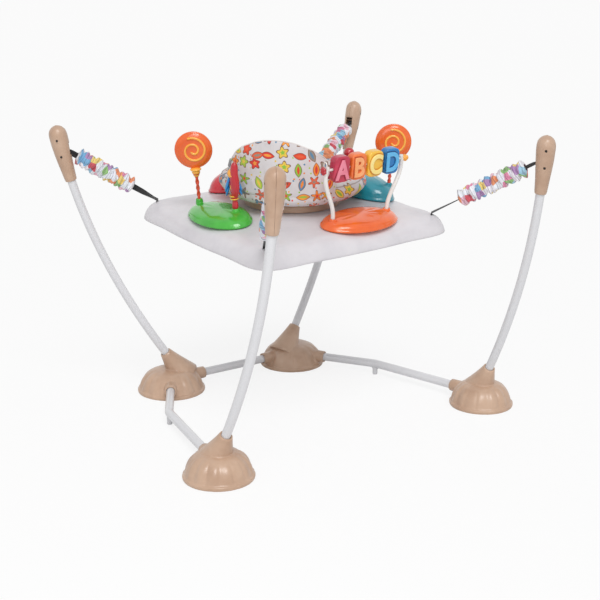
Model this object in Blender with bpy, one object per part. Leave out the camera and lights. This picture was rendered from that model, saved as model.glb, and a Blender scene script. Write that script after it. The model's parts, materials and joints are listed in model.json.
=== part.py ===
# Baby jumper: four leaning posts on moulded feet, and a toy tray with a swivel seat that
# hangs from the posts on sprung straps. Metres, +Z up, the child faces -Y.
# The origin is on the floor, under the centre of the whole outline.
import math

import bmesh
import bpy
import numpy as np
from mathutils import Matrix, Vector

for item in list(bpy.data.objects):
    bpy.data.objects.remove(item, do_unlink=True)

# Overall sizes
STAND_HEIGHT = 0.783
BASE_DEPTH = 0.610
REAR_FOOT_SPAN = 0.428
FRONT_FOOT_SPAN = 0.868
TUBE_DIAMETER = 0.024
FIT_GAP = 0.0003

# Posts: how far each cap stands out from its foot, in which direction, and the slope it starts with
REAR_POST_REACH = 0.292
REAR_POST_HEADING = math.radians(13)
REAR_POST_SLOPE = 0.69
FRONT_POST_REACH = 0.216
FRONT_POST_HEADING = math.radians(-96)
FRONT_POST_SLOPE = 0.566
REAR_BEND_START = 0.0945
FRONT_BEND_START = 0.060
POST_STEPS = 13

# Feet
REAR_FOOT_DIAMETER = 0.195
FRONT_FOOT_DIAMETER = 0.178
FOOT_RIM_HEIGHT = 0.011
FOOT_DOME_HEIGHT = 0.066
SOCKET_RIM_HEIGHT = 0.117
SOCKET_WALL = 0.0045
SOCKET_DEPTH = 0.052
FLUTE_COUNT = 12
FLUTE_DEPTH = 0.0045
STUB_RADIUS = 0.0175
STUB_OVERHANG = 0.012
BASE_TUBE_HEIGHT = 0.033
BASE_TUBE_INSERT = 0.035

# Base tubes: where each side tube bends, and the radius of that bend
SIDE_BEND_X = 0.356
SIDE_BEND_Y = 0.070
SIDE_BEND_RADIUS = 0.060
GLIDE_RADIUS = 0.0075
GLIDE_HEIGHT = BASE_TUBE_HEIGHT - TUBE_DIAMETER / 2

# Post caps
CAP_LENGTH = 0.150
CAP_TOP_RADIUS = 0.0252
CAP_FOOT_RADIUS = 0.0165
CAP_WALL = 0.003
POST_STOP_LINE = 0.102
CAP_BORE_DEPTH = POST_STOP_LINE - TUBE_DIAMETER
CAP_SLOT_SIDE_GAP = 0.004
CAP_SLOT_HEIGHT = 0.030
CAP_SLOT_DROP = 0.034
CAP_SEAM = 0.0003
CAP_SEGMENTS = 16
PIN_RADIUS = 0.0035
SCREW_RADIUS = 0.0034
SCREW_DEPTH = 0.0022
SCREW_DROPS = (0.012, 0.056)

# Webbing, springs and gathered sleeves
WEBBING_WIDTH = 0.016
WEBBING_THICKNESS = 0.0018
SPRING_RADIUS = 0.0085
SLEEVE_RADIUS = 0.0195
SLEEVE_BORE = SPRING_RADIUS + 0.0008
SLEEVE_CUFF_RADIUS = 0.0125
GATHER_PITCH = 0.0155
GATHER_DEPTH = 0.0032
SLEEVE_SIDES = 10
UPPER_STRAP_SHARE = 0.15
SLEEVE_SHARE = 0.59

# Tray: it hangs with its rear edge a little high, as photographed
TRAY_DROP = 0.223
TRAY_SIDE = 0.624
TRAY_SQUARENESS = 3.36
TRAY_CORNER_TAB = 0.056
TRAY_TAB_SPREAD = 0.190
TRAY_TILT_X = 0.062
TRAY_TILT_Y = -0.039
TRAY_CROWN = 0.022
TRAY_RIM_DEPTH = 0.045
TRAY_WALL = 0.004
TRAY_SEGMENTS = 64
SLOT_INSET = 0.264
BUCKLE_DROP = 0.0105
HUB_HOLE_RADIUS = 0.118
COLLAR_HEIGHT = 0.003

# Seat
SEAT_TURN = math.radians(125)
SEAT_RING_OVERHANG = 0.013
SEAT_RING_WALL = 0.012
SNAP_LIP_REACH = 0.0035
SEAT_RING_RADIUS = HUB_HOLE_RADIUS + SEAT_RING_OVERHANG
SEAT_RING_HEIGHT = 0.023
SEAT_RING_BORE = HUB_HOLE_RADIUS - SEAT_RING_WALL
SNAP_LIP_RADIUS = HUB_HOLE_RADIUS + SNAP_LIP_REACH
SNAP_LIP_HEIGHT = 0.006
PAD_BACK_WRAP = math.radians(60)
PAD_ARCH_DROP = 0.050
PAD_BACK_HEIGHT = 0.228
PAD_SIDE_HEIGHT = 0.098
PAD_FRONT_HEIGHT = 0.106
PAD_BACK_RADIUS = 0.176
PAD_SIDE_RADIUS = 0.174
PAD_FRONT_RADIUS = 0.196
PAD_BACK_THICKNESS = 0.022
PAD_ROLL_THICKNESS = 0.040
BUCKET_DROP = 0.088
BUCKET_WALL = 0.004
LEG_HOLE_RADIUS = 0.047

# Toys
STATION_DISTANCE = 0.228
STATION_LENGTH = 0.232
STATION_WIDTH = 0.134
STATION_HEIGHT = 0.027
STATION_LIFT = 0.0002
DOME_HEIGHT = 0.058
BOSS_RADIUS = 0.011
LOLLIPOP_RADIUS = 0.047
LOLLIPOP_THICKNESS = 0.020
LOLLIPOP_RISE = 0.132
STEM_RADIUS = 0.0048
SPIGOT_RADIUS = 0.0034
SPIGOT_GAP = 0.0006
SPIGOT_DEPTH = 0.008
ARCH_RISE = 0.140
ARCH_SPAN = 0.174
ARCH_BOW = 0.034
ARCH_TUBE_RADIUS = 0.0058
ROD_RADIUS = 0.0035
TILE_WIDTH = 0.047
TILE_HEIGHT = 0.067
TILE_THICKNESS = 0.024
TILE_PITCH = 0.053
BALL_RADIUS = 0.0160
BALL_HEIGHT = 0.044


# Materials

def make_material(name, hex_colour, roughness, metallic=0.0):
    material = bpy.data.materials.new(name)
    material.use_nodes = True
    shader = material.node_tree.nodes["Principled BSDF"]
    channels = [int(hex_colour[i:i + 2], 16) / 255 for i in (0, 2, 4)]
    linear = [c / 12.92 if c <= 0.04045 else ((c + 0.055) / 1.055) ** 2.4 for c in channels]
    shader.inputs["Base Color"].default_value = (*linear, 1.0)
    shader.inputs["Roughness"].default_value = roughness
    shader.inputs["Metallic"].default_value = metallic
    return material


TAN_PLASTIC = make_material("tan moulded plastic", "C9A78F", 0.45)
WHITE_TUBE = make_material("white painted steel tube", "E6E6E8", 0.25)
TRAY_PLASTIC = make_material("pale grey tray plastic", "DAD8DC", 0.35)
BLACK_WEBBING = make_material("black webbing", "151515", 0.85)
BLACK_PLASTIC = make_material("black plastic", "1B1B1B", 0.5)
STEEL = make_material("spring steel", "B8BABD", 0.3, 1.0)
GATHERED_FABRIC = make_material("patterned gathered fabric", "BFC6D6", 0.9)
SEAT_FABRIC = make_material("off-white printed seat fabric", "DDD8DA", 0.9)
GREEN_PLASTIC = make_material("green gloss plastic", "48B83B", 0.25)
ORANGE_PLASTIC = make_material("orange gloss plastic", "EE6A23", 0.25)
CRIMSON_PLASTIC = make_material("crimson gloss plastic", "C8202F", 0.25)
TEAL_PLASTIC = make_material("teal gloss plastic", "1B8A9B", 0.25)
YELLOW_PLASTIC = make_material("yellow gloss plastic", "F8D25C", 0.3)
BLUE_PLASTIC = make_material("blue gloss plastic", "2E9BD8", 0.3)
ROSE_PLASTIC = make_material("rose gloss plastic", "E0607A", 0.3)
APRICOT_PLASTIC = make_material("apricot gloss plastic", "F58A4E", 0.3)
CREAM_PLASTIC = make_material("cream plastic", "EDE9E6", 0.35)


# Shape helpers

def add_mesh(name, bm, material, parent=None):
    """One closed mesh object from a bmesh, faces outward, shaded smooth with sharp edges kept."""
    bmesh.ops.recalc_face_normals(bm, faces=bm.faces[:])
    mesh = bpy.data.meshes.new(name)
    bm.to_mesh(mesh)
    bm.free()
    mesh.materials.append(material)
    mesh.shade_smooth()
    mesh.set_sharp_from_angle(angle=math.radians(40))
    obj = bpy.data.objects.new(name, mesh)
    bpy.context.collection.objects.link(obj)
    obj.parent = parent
    return obj


def add_empty(name, location, parent=None):
    empty = bpy.data.objects.new(name, None)
    empty.location = location
    empty.parent = parent
    bpy.context.collection.objects.link(empty)
    return empty


def loft(bm, rings, cap_start=True, cap_end=True, wrap=False):
    """Joins rings of points by quads. A ring of one point is a pole, and wrap joins the last ring to the first."""
    levels = [[bm.verts.new(Vector(point)) for point in ring] for ring in rings]
    pairs = list(zip(levels, levels[1:]))
    if wrap:
        pairs.append((levels[-1], levels[0]))
    for low, high in pairs:
        count = max(len(low), len(high))
        for i in range(count):
            j = (i + 1) % count
            if len(low) == 1:
                bm.faces.new((low[0], high[j], high[i]))
            elif len(high) == 1:
                bm.faces.new((low[i], low[j], high[0]))
            else:
                bm.faces.new((low[i], low[j], high[j], high[i]))
    if not wrap:
        if cap_start and len(levels[0]) > 2:
            bm.faces.new(levels[0][::-1])
        if cap_end and len(levels[-1]) > 2:
            bm.faces.new(levels[-1])
    return bm


def circle(radius, height=0.0, segments=24, centre=(0.0, 0.0)):
    """Points of a level circle, or its centre alone where the radius is nothing."""
    if radius < 1e-6:
        return [(centre[0], centre[1], height)]
    step = math.tau / segments
    return [
        (centre[0] + radius * math.cos(i * step), centre[1] + radius * math.sin(i * step), height)
        for i in range(segments)
    ]


def turned_mesh(bm, profile, segments=24, place=Matrix.Identity(4)):
    """Adds a solid turned about Z from (radius, height) pairs, put in its place."""
    return loft(bm, [[place @ Vector(p) for p in circle(r, height, segments)] for r, height in profile])


def turned(name, profile, material, parent=None, segments=24):
    return add_mesh(name, turned_mesh(bmesh.new(), profile, segments), material, parent)


def turned_ring(name, section, material, parent=None, segments=48):
    """A ring turned about Z from a closed section of (radius, height) pairs."""
    rings = [circle(radius, height, segments) for radius, height in section]
    return add_mesh(name, loft(bmesh.new(), rings, wrap=True), material, parent)


def frame_along(points, up=Vector((0, 0, 1))):
    """(point, side, normal) at each point of a path: side is level where it can be."""
    points = [Vector(p) for p in points]
    frames = []
    for i, point in enumerate(points):
        ahead = points[min(i + 1, len(points) - 1)] - points[max(i - 1, 0)]
        ahead.normalize()
        side = ahead.cross(up).normalized()
        frames.append((point, side, side.cross(ahead).normalized()))
    return frames


def swept_rings(points, radii, segments, up=Vector((0, 0, 1))):
    step = math.tau / segments
    return [
        [p + r * (side * math.cos(k * step) + normal * math.sin(k * step)) for k in range(segments)]
        for (p, side, normal), r in zip(frame_along(points, up), radii)
    ]


def tube(name, points, radius, material, parent=None, bevel_resolution=5):
    """A round tube of one radius as a curve with filled ends."""
    curve = bpy.data.curves.new(name, "CURVE")
    curve.dimensions = "3D"
    curve.bevel_depth = radius
    curve.bevel_resolution = bevel_resolution
    curve.use_fill_caps = True
    spline = curve.splines.new("POLY")
    spline.points.add(len(points) - 1)
    for spot, point in zip(spline.points, points):
        spot.co = (*point, 1.0)
    curve.materials.append(material)
    obj = bpy.data.objects.new(name, curve)
    bpy.context.collection.objects.link(obj)
    obj.parent = parent
    return obj


def smooth_share(value):
    value = min(max(value, 0.0), 1.0)
    return value * value * (3 - 2 * value)


def hide_as_cutter(obj):
    obj.hide_render = True
    obj.display_type = "WIRE"
    return obj


def cut(obj, cutter, operation="DIFFERENCE"):
    modifier = obj.modifiers.new(operation.title(), "BOOLEAN")
    modifier.operation = operation
    modifier.object = hide_as_cutter(cutter)
    return modifier


def rod_mesh(bm, start, end, radius, segments=12, end_radius=None):
    """Adds one straight round bar to a bmesh."""
    start, end = Vector(start), Vector(end)
    along = (end - start).normalized()
    up = Vector((0, 0, 1)) if abs(along.z) < 0.9 else Vector((1, 0, 0))
    radii = (radius, radius if end_radius is None else end_radius)
    return loft(bm, swept_rings([start, end], radii, segments, up))


def box_mesh(bm, size, centre=(0, 0, 0), turn=Matrix.Identity(3)):
    """Adds one box to a bmesh, turned about its own centre."""
    half = Vector(size) / 2
    corners = [(-1, -1), (1, -1), (1, 1), (-1, 1)]
    rings = [
        [Vector(centre) + turn @ Vector((x * half.x, y * half.y, z * half.z)) for x, y in corners]
        for z in (-1, 1)
    ]
    return loft(bm, rings)


def axes_matrix(x_axis, y_axis, z_axis):
    return Matrix((x_axis, y_axis, z_axis)).transposed()


# Towers: foot, post and cap of one corner share these places

class Tower:
    def __init__(self, name, side, end):
        rear = end > 0
        self.name = name
        self.side = side
        self.end = end
        self.foot_radius = (REAR_FOOT_DIAMETER if rear else FRONT_FOOT_DIAMETER) / 2
        span = REAR_FOOT_SPAN if rear else FRONT_FOOT_SPAN
        self.foot = Vector((side * span / 2, end * BASE_DEPTH / 2, 0))
        heading = REAR_POST_HEADING if rear else FRONT_POST_HEADING
        self.heading = Vector((side * math.cos(heading), math.sin(heading), 0))
        self.slope = REAR_POST_SLOPE if rear else FRONT_POST_SLOPE
        self.reach = REAR_POST_REACH if rear else FRONT_POST_REACH
        self.bend_start = REAR_BEND_START if rear else FRONT_BEND_START
        rise = STAND_HEIGHT - CAP_TOP_RADIUS - self.bend_start
        self.curl = (self.reach - self.slope * rise) / rise ** 2

    def point(self, height):
        """The post's centreline at one height: straight in the socket, then a steady bend."""
        rise = height - self.bend_start
        reach = self.slope * rise + (self.curl * rise ** 2 if rise > 0 else 0.0)
        return self.foot + self.heading * reach + Vector((0, 0, height))

    def direction(self, height):
        rise = max(height - self.bend_start, 0.0)
        slope = self.slope + 2 * self.curl * rise
        return (self.heading * slope + Vector((0, 0, 1))).normalized()

    def inward(self):
        """Level, from the cap towards the slot in the tray's corner."""
        spot = Vector((self.side * SLOT_INSET, TRAY_CENTRE_Y + self.end * SLOT_INSET, 0))
        away = spot - self.point(CAP_CENTRE_HEIGHT)
        away.z = 0
        return away.normalized()


TOWERS = [
    Tower("front_left", -1, -1),
    Tower("front_right", 1, -1),
    Tower("rear_left", -1, 1),
    Tower("rear_right", 1, 1),
]
CAP_CENTRE_HEIGHT = STAND_HEIGHT - CAP_TOP_RADIUS
front_edge = min(t.point(CAP_CENTRE_HEIGHT).y - CAP_TOP_RADIUS for t in TOWERS)
front_edge = min(front_edge, -BASE_DEPTH / 2 - FRONT_FOOT_DIAMETER / 2)
rear_edge = max(t.point(CAP_CENTRE_HEIGHT).y + CAP_TOP_RADIUS for t in TOWERS)
rear_edge = max(rear_edge, BASE_DEPTH / 2 + REAR_FOOT_DIAMETER / 2)
for tower in TOWERS:
    tower.foot.y -= (front_edge + rear_edge) / 2
TRAY_CENTRE_Y = -(front_edge + rear_edge) / 2
BY_NAME = {tower.name: tower for tower in TOWERS}


# Base tubes

def rounded_corner(start, corner, end, radius, steps=8):
    """A path from start to end that turns at the corner on an arc."""
    start, corner, end = Vector(start), Vector(corner), Vector(end)
    back, ahead = (start - corner).normalized(), (end - corner).normalized()
    half = math.acos(max(-1.0, min(1.0, back.dot(ahead)))) / 2
    setback = radius / math.tan(half)
    centre = corner + (back + ahead).normalized() * (radius / math.sin(half))
    first = corner + back * setback - centre
    last = corner + ahead * setback - centre
    sweep = first.angle(last)
    axis = first.cross(last).normalized()
    arc = [centre + Matrix.Rotation(sweep * i / steps, 3, axis) @ first for i in range(steps + 1)]
    return [start, *arc, end]


def side_bend(side):
    return Vector((side * SIDE_BEND_X, SIDE_BEND_Y + TRAY_CENTRE_Y, BASE_TUBE_HEIGHT))


def stub_directions(tower):
    """Level directions from a foot towards the base tubes that enter it."""
    here = tower.foot + Vector((0, 0, BASE_TUBE_HEIGHT))
    found = [(side_bend(tower.side) - here).normalized()]
    if tower.end > 0:
        found.append(Vector((-tower.side, 0, 0)))
    return found


def stub_mouth(tower):
    return tower.foot_radius + STUB_OVERHANG


def tube_start(tower, direction):
    """Where a base tube ends inside its foot."""
    inside = stub_mouth(tower) - BASE_TUBE_INSERT
    return tower.foot + direction * inside + Vector((0, 0, BASE_TUBE_HEIGHT))


# A glide nub is welded under each side tube's bend
GLIDE_PROFILE = [
    (0, 0),
    (GLIDE_RADIUS * 0.8, 0),
    (GLIDE_RADIUS, 0.0015),
    (GLIDE_RADIUS, GLIDE_HEIGHT + 0.006),
    (0, GLIDE_HEIGHT + 0.006),
]
for side, word in ((-1, "left"), (1, "right")):
    rear, front = BY_NAME[f"rear_{word}"], BY_NAME[f"front_{word}"]
    path = rounded_corner(
        tube_start(rear, stub_directions(rear)[0]),
        side_bend(side),
        tube_start(front, stub_directions(front)[0]),
        SIDE_BEND_RADIUS,
        6,
    )
    rings = swept_rings(path, [TUBE_DIAMETER / 2] * len(path), 16)
    base_tube = add_mesh(f"base_tube_{word}", loft(bmesh.new(), rings), WHITE_TUBE)
    low = path[len(path) // 2]
    glide = turned(f"cutter_glide_{word}", GLIDE_PROFILE, WHITE_TUBE, segments=16)
    glide.location = (low.x, low.y, 0)
    cut(base_tube, glide, "UNION")
rear_ends = [tube_start(BY_NAME[n], Vector((s, 0, 0))) for n, s in (("rear_left", 1), ("rear_right", -1))]
rear_path = [rear_ends[0].lerp(rear_ends[1], i / 4) for i in range(5)]
tube("base_tube_rear", rear_path, TUBE_DIAMETER / 2, WHITE_TUBE, bevel_resolution=5)


# Feet: a fluted bell with a leaning socket for the post and level stubs for the base tubes

def foot_rings(tower, segments=3 * FLUTE_COUNT):
    radius, dome = tower.foot_radius, FOOT_DOME_HEIGHT
    outline = [
        (radius - 0.002, 0.0, 0.0),
        (radius, 0.0025, 0.0),
        (radius, FOOT_RIM_HEIGHT - 0.002, 0.0),
        (radius * 0.955, FOOT_RIM_HEIGHT + 0.001, 0.35),
    ]
    for i in range(1, 5):
        angle = math.radians(90) * i / 5
        outline.append((
            0.030 + (radius * 0.955 - 0.030) * math.cos(angle) ** 0.9,
            FOOT_RIM_HEIGHT + (dome - FOOT_RIM_HEIGHT) * math.sin(angle),
            math.cos(angle) ** 0.7,
        ))
    outline.append((0.030, dome, 0.0))
    outward = math.atan2(tower.heading.y, tower.heading.x)
    rings = []
    for ring_radius, height, share in outline:
        ring = []
        for k in range(segments):
            angle = outward + math.tau * k / segments
            wave = 0.5 + 0.5 * math.cos(FLUTE_COUNT * (angle - outward))
            r = ring_radius - FLUTE_DEPTH * share * wave ** 2
            ring.append((r * math.cos(angle), r * math.sin(angle), height))
        rings.append(ring)
    return rings


for tower in TOWERS:
    foot = add_mesh(f"foot_{tower.name}", loft(bmesh.new(), foot_rings(tower)), TAN_PLASTIC)
    foot.location = tower.foot
    tube_radius = TUBE_DIAMETER / 2
    mouth = tower.point(SOCKET_RIM_HEIGHT)
    lean = tower.direction(SOCKET_RIM_HEIGHT)
    root_height = FOOT_DOME_HEIGHT * 0.62
    cone_points = [tower.point(root_height + (SOCKET_RIM_HEIGHT - root_height) * s) for s in (0, 0.35, 0.7, 1)]
    cone_radii = [tube_radius + grow for grow in (0.036, 0.024, 0.0125, SOCKET_WALL)]
    cone = add_mesh(
        f"cutter_cone_{tower.name}", loft(bmesh.new(), swept_rings(cone_points, cone_radii, 18)), TAN_PLASTIC
    )
    cut(foot, cone, "UNION")
    for number, direction in enumerate(stub_directions(tower)):
        start = tower.foot + direction * tower.foot_radius * 0.45 + Vector((0, 0, BASE_TUBE_HEIGHT))
        end = tower.foot + direction * stub_mouth(tower) + Vector((0, 0, BASE_TUBE_HEIGHT))
        stub = add_mesh(
            f"cutter_stub_{tower.name}_{number}",
            rod_mesh(bmesh.new(), start, end, STUB_RADIUS + 0.002, 14, STUB_RADIUS),
            TAN_PLASTIC,
        )
        cut(foot, stub, "UNION")
        bore_start = tube_start(tower, direction) - direction * FIT_GAP
        bore = add_mesh(
            f"cutter_bore_{tower.name}_{number}",
            rod_mesh(bmesh.new(), bore_start, end + direction * 0.01, tube_radius + FIT_GAP * 3, 12),
            TAN_PLASTIC,
        )
        cut(foot, bore)
    bottom = SOCKET_RIM_HEIGHT - SOCKET_DEPTH * lean.z
    bore_points = [tower.point(bottom + (SOCKET_RIM_HEIGHT + 0.01 - bottom) * i / 2) for i in range(3)]
    post_bore = add_mesh(
        f"cutter_socket_{tower.name}",
        loft(bmesh.new(), swept_rings(bore_points, [tube_radius + FIT_GAP * 3] * 3, 12)),
        TAN_PLASTIC,
    )
    cut(foot, post_bore)
    post_foot = bottom + FIT_GAP * 2
    post_head = tower.point(CAP_CENTRE_HEIGHT).z - CAP_LENGTH + CAP_TOP_RADIUS + CAP_BORE_DEPTH
    heights = [post_foot + (post_head - post_foot) * i / (POST_STEPS - 1) for i in range(POST_STEPS)]
    tube(f"post_{tower.name}", [tower.point(h) for h in heights], tube_radius, WHITE_TUBE)


# Caps: two half shells round the post's head with recesses for their screws and a slot for the strap.
# Half a carries the pin that the strap loops round.

def cap_profile():
    """(height on the post, outer radius) up the cap and over its dome."""
    foot_height = CAP_CENTRE_HEIGHT - (CAP_LENGTH - CAP_TOP_RADIUS)
    rise = CAP_CENTRE_HEIGHT - foot_height
    sides = [
        (foot_height + rise * s, CAP_FOOT_RADIUS + (CAP_TOP_RADIUS - CAP_FOOT_RADIUS) * smooth_share(s * 1.08))
        for s in (0, 0.03, 0.3, 0.65, 1)
    ]
    sides[0] = (sides[0][0], sides[0][1] - 0.0015)
    return sides


def cap_body(tower, inset, start_share):
    """Rings of the cap's outer skin, or of a surface that lies inset from it."""
    sides = cap_profile()
    first = sides[0][0] + (CAP_CENTRE_HEIGHT - sides[0][0]) * start_share
    heights = [h for h, _ in sides if h > first + 1e-4]
    heights.insert(0, first)
    radii = [float(r) - inset for r in np.interp(heights, [h for h, _ in sides], [r for _, r in sides])]
    rings = swept_rings([tower.point(h) for h in heights], radii, CAP_SEGMENTS, -tower.inward())
    centre, axis = tower.point(CAP_CENTRE_HEIGHT), tower.direction(CAP_CENTRE_HEIGHT)
    radius = CAP_TOP_RADIUS - inset
    _, side, normal = frame_along([centre, centre + axis], -tower.inward())[0]
    for angle in (math.radians(a) for a in (30, 60)):
        ring_centre = centre + axis * radius * math.sin(angle)
        r = radius * math.cos(angle)
        step = math.tau / CAP_SEGMENTS
        rings.append([
            ring_centre + r * (side * math.cos(k * step) + normal * math.sin(k * step))
            for k in range(CAP_SEGMENTS)
        ])
    rings.append([centre + axis * radius])
    return rings


for tower in TOWERS:
    centre, axis = tower.point(CAP_CENTRE_HEIGHT), tower.direction(CAP_CENTRE_HEIGHT)
    level = (tower.inward() - axis * tower.inward().dot(axis)).normalized()
    normal = axis.cross(level)
    cap_foot = cap_profile()[0][0]
    bore_share = CAP_BORE_DEPTH / (CAP_LENGTH - CAP_TOP_RADIUS)
    cavity = add_mesh(
        f"cutter_cavity_{tower.name}", loft(bmesh.new(), cap_body(tower, CAP_WALL, bore_share + 0.01)), TAN_PLASTIC
    )
    bore_top = cap_foot + (CAP_CENTRE_HEIGHT - cap_foot) * (bore_share + 0.04)
    bore_heights = [cap_foot - 0.01 + (bore_top - cap_foot + 0.01) * i / 2 for i in range(3)]
    bore = add_mesh(
        f"cutter_cap_bore_{tower.name}",
        loft(bmesh.new(), swept_rings(
            [tower.point(h) for h in bore_heights], [TUBE_DIAMETER / 2 + FIT_GAP * 2] * 3, 16, -tower.inward()
        )),
        TAN_PLASTIC,
    )
    slot_centre = tower.point(CAP_CENTRE_HEIGHT - CAP_SLOT_DROP - 0.008) + level * CAP_TOP_RADIUS
    slot = add_mesh(
        f"cutter_slot_{tower.name}",
        box_mesh(
            bmesh.new(),
            (0.036, WEBBING_WIDTH + CAP_SLOT_SIDE_GAP, CAP_SLOT_HEIGHT),
            slot_centre,
            axes_matrix(level, normal, axis),
        ),
        TAN_PLASTIC,
    )
    for half, sign in (("a", 1), ("b", -1)):
        shell = add_mesh(f"cap_{tower.name}_{half}", loft(bmesh.new(), cap_body(tower, 0.0, 0.0)), TAN_PLASTIC)
        keep = add_mesh(
            f"cutter_half_{tower.name}_{half}",
            box_mesh(
                bmesh.new(),
                (0.2, 0.1, 0.4),
                centre + normal * sign * (0.05 + CAP_SEAM / 2),
                axes_matrix(level, normal, axis),
            ),
            TAN_PLASTIC,
        )
        cut(shell, keep, "INTERSECT")
        cut(shell, cavity)
        cut(shell, bore)
        cut(shell, slot)
        if half == "b":
            continue
        pin_spot = tower.point(CAP_CENTRE_HEIGHT - CAP_SLOT_DROP)
        pin_reach = CAP_TOP_RADIUS - CAP_WALL
        pin = add_mesh(
            f"cutter_pin_{tower.name}",
            rod_mesh(bmesh.new(), pin_spot - normal * (pin_reach - 0.0035), pin_spot + normal * (pin_reach + 0.001),
                     PIN_RADIUS, 12),
            TAN_PLASTIC,
        )
        cut(shell, pin, "UNION")
        tower.pin = pin_spot
        for number, drop in enumerate(SCREW_DROPS):
            spot = tower.point(CAP_CENTRE_HEIGHT - drop) - level * 0.006
            outer = float(np.interp((spot - centre).dot(axis) + CAP_CENTRE_HEIGHT,
                                    [h for h, _ in cap_profile()], [r for _, r in cap_profile()]))
            skin = spot + normal * math.sqrt(outer ** 2 - 0.006 ** 2)
            recess = add_mesh(
                f"cutter_screw_{tower.name}_{number}",
                rod_mesh(bmesh.new(), skin - normal * SCREW_DEPTH, skin + normal * 0.01, SCREW_RADIUS + FIT_GAP, 12),
                TAN_PLASTIC,
            )
            cut(shell, recess)


# Tray, in its own frame: z = 0 is the deck where the toys stand

tray_frame = add_empty("tray_frame", (0, TRAY_CENTRE_Y, STAND_HEIGHT - TRAY_DROP))
tray_frame.rotation_euler = (TRAY_TILT_X, TRAY_TILT_Y, 0)
bpy.context.view_layer.update()
TRAY_WORLD = tray_frame.matrix_world.copy()


def tray_outline(angle):
    """Distance from the hub to the tray's edge: a rounded square with a tab at each corner."""
    half, power = TRAY_SIDE / 2, TRAY_SQUARENESS
    side = half / (abs(math.cos(angle)) ** power + abs(math.sin(angle)) ** power) ** (1 / power)
    off_corner = (angle % (math.pi / 2)) - math.pi / 4
    return side + TRAY_CORNER_TAB * math.exp(-((off_corner / TRAY_TAB_SPREAD) ** 2))


def deck_height(x, y):
    """The deck's height: a low crown round the hub that rolls down to the rim."""
    distance = math.hypot(x, y)
    share = distance / tray_outline(math.atan2(y, x))
    shoulder = max(share - 0.90, 0.0) / 0.10
    return TRAY_CROWN * (1 - share ** 2) - 0.012 * shoulder ** 2


def tray_ring(share, drop, inset=0.0):
    """One ring of the tray at a share of its outline, at the deck's height less a drop."""
    ring = []
    for k in range(TRAY_SEGMENTS):
        angle = math.tau * (k + 0.5) / TRAY_SEGMENTS
        edge = tray_outline(angle) - inset
        distance = HUB_HOLE_RADIUS + (edge - HUB_HOLE_RADIUS) * share
        x, y = distance * math.cos(angle), distance * math.sin(angle)
        ring.append((x, y, deck_height(x, y) - drop))
    return ring


def hub_ring(radius, height):
    return [
        (radius * math.cos(math.tau * (k + 0.5) / TRAY_SEGMENTS),
         radius * math.sin(math.tau * (k + 0.5) / TRAY_SEGMENTS), height)
        for k in range(TRAY_SEGMENTS)
    ]


def rim_ring(inset, height):
    ring = []
    for k in range(TRAY_SEGMENTS):
        angle = math.tau * (k + 0.5) / TRAY_SEGMENTS
        edge = tray_outline(angle) - inset
        ring.append((edge * math.cos(angle), edge * math.sin(angle), height))
    return ring


hub_deck = deck_height(HUB_HOLE_RADIUS, 0)
collar_top = hub_deck + COLLAR_HEIGHT
tray_rings = [
    hub_ring(HUB_HOLE_RADIUS, collar_top),
    hub_ring(HUB_HOLE_RADIUS + TRAY_WALL, collar_top),
    tray_ring(0.07, 0.0),
    tray_ring(0.38, 0.0),
    tray_ring(0.70, 0.0),
    rim_ring(0.044, 0.0050),
    rim_ring(0.022, -0.0040),
    rim_ring(0.008, -0.0160),
    rim_ring(-0.0005, -0.0330),
    rim_ring(-0.0015, -TRAY_RIM_DEPTH + 0.002),
    rim_ring(TRAY_WALL * 0.8, -TRAY_RIM_DEPTH),
    rim_ring(TRAY_WALL, -0.0330),
    rim_ring(0.008 + TRAY_WALL * 0.9, -0.0180),
    rim_ring(0.022 + TRAY_WALL * 0.5, -0.0040 - TRAY_WALL),
    rim_ring(0.044, 0.0050 - TRAY_WALL),
    tray_ring(0.70, TRAY_WALL),
    tray_ring(0.38, TRAY_WALL),
    hub_ring(HUB_HOLE_RADIUS + TRAY_WALL, hub_deck - 0.012),
    hub_ring(HUB_HOLE_RADIUS, hub_deck - 0.012),
]
tray = add_mesh("tray", loft(bmesh.new(), tray_rings, wrap=True), TRAY_PLASTIC, tray_frame)


# Straps: webbing from the cap's pin to a spring in a gathered sleeve, then webbing to the tray

def ribbon(name, points, side_starts, width, thickness, material):
    """Flat webbing along a path. Its width lies along the side given at each point."""
    rings = []
    for i, point in enumerate(points):
        ahead = (points[min(i + 1, len(points) - 1)] - points[max(i - 1, 0)]).normalized()
        side = (side_starts[i] - ahead * side_starts[i].dot(ahead)).normalized()
        normal = side.cross(ahead).normalized()
        rings.append([
            point + side * x * width / 2 + normal * y * thickness / 2
            for x, y in ((-1, -1), (1, -1), (1, 1), (-1, 1))
        ])
    return add_mesh(name, loft(bmesh.new(), rings), material)


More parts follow.
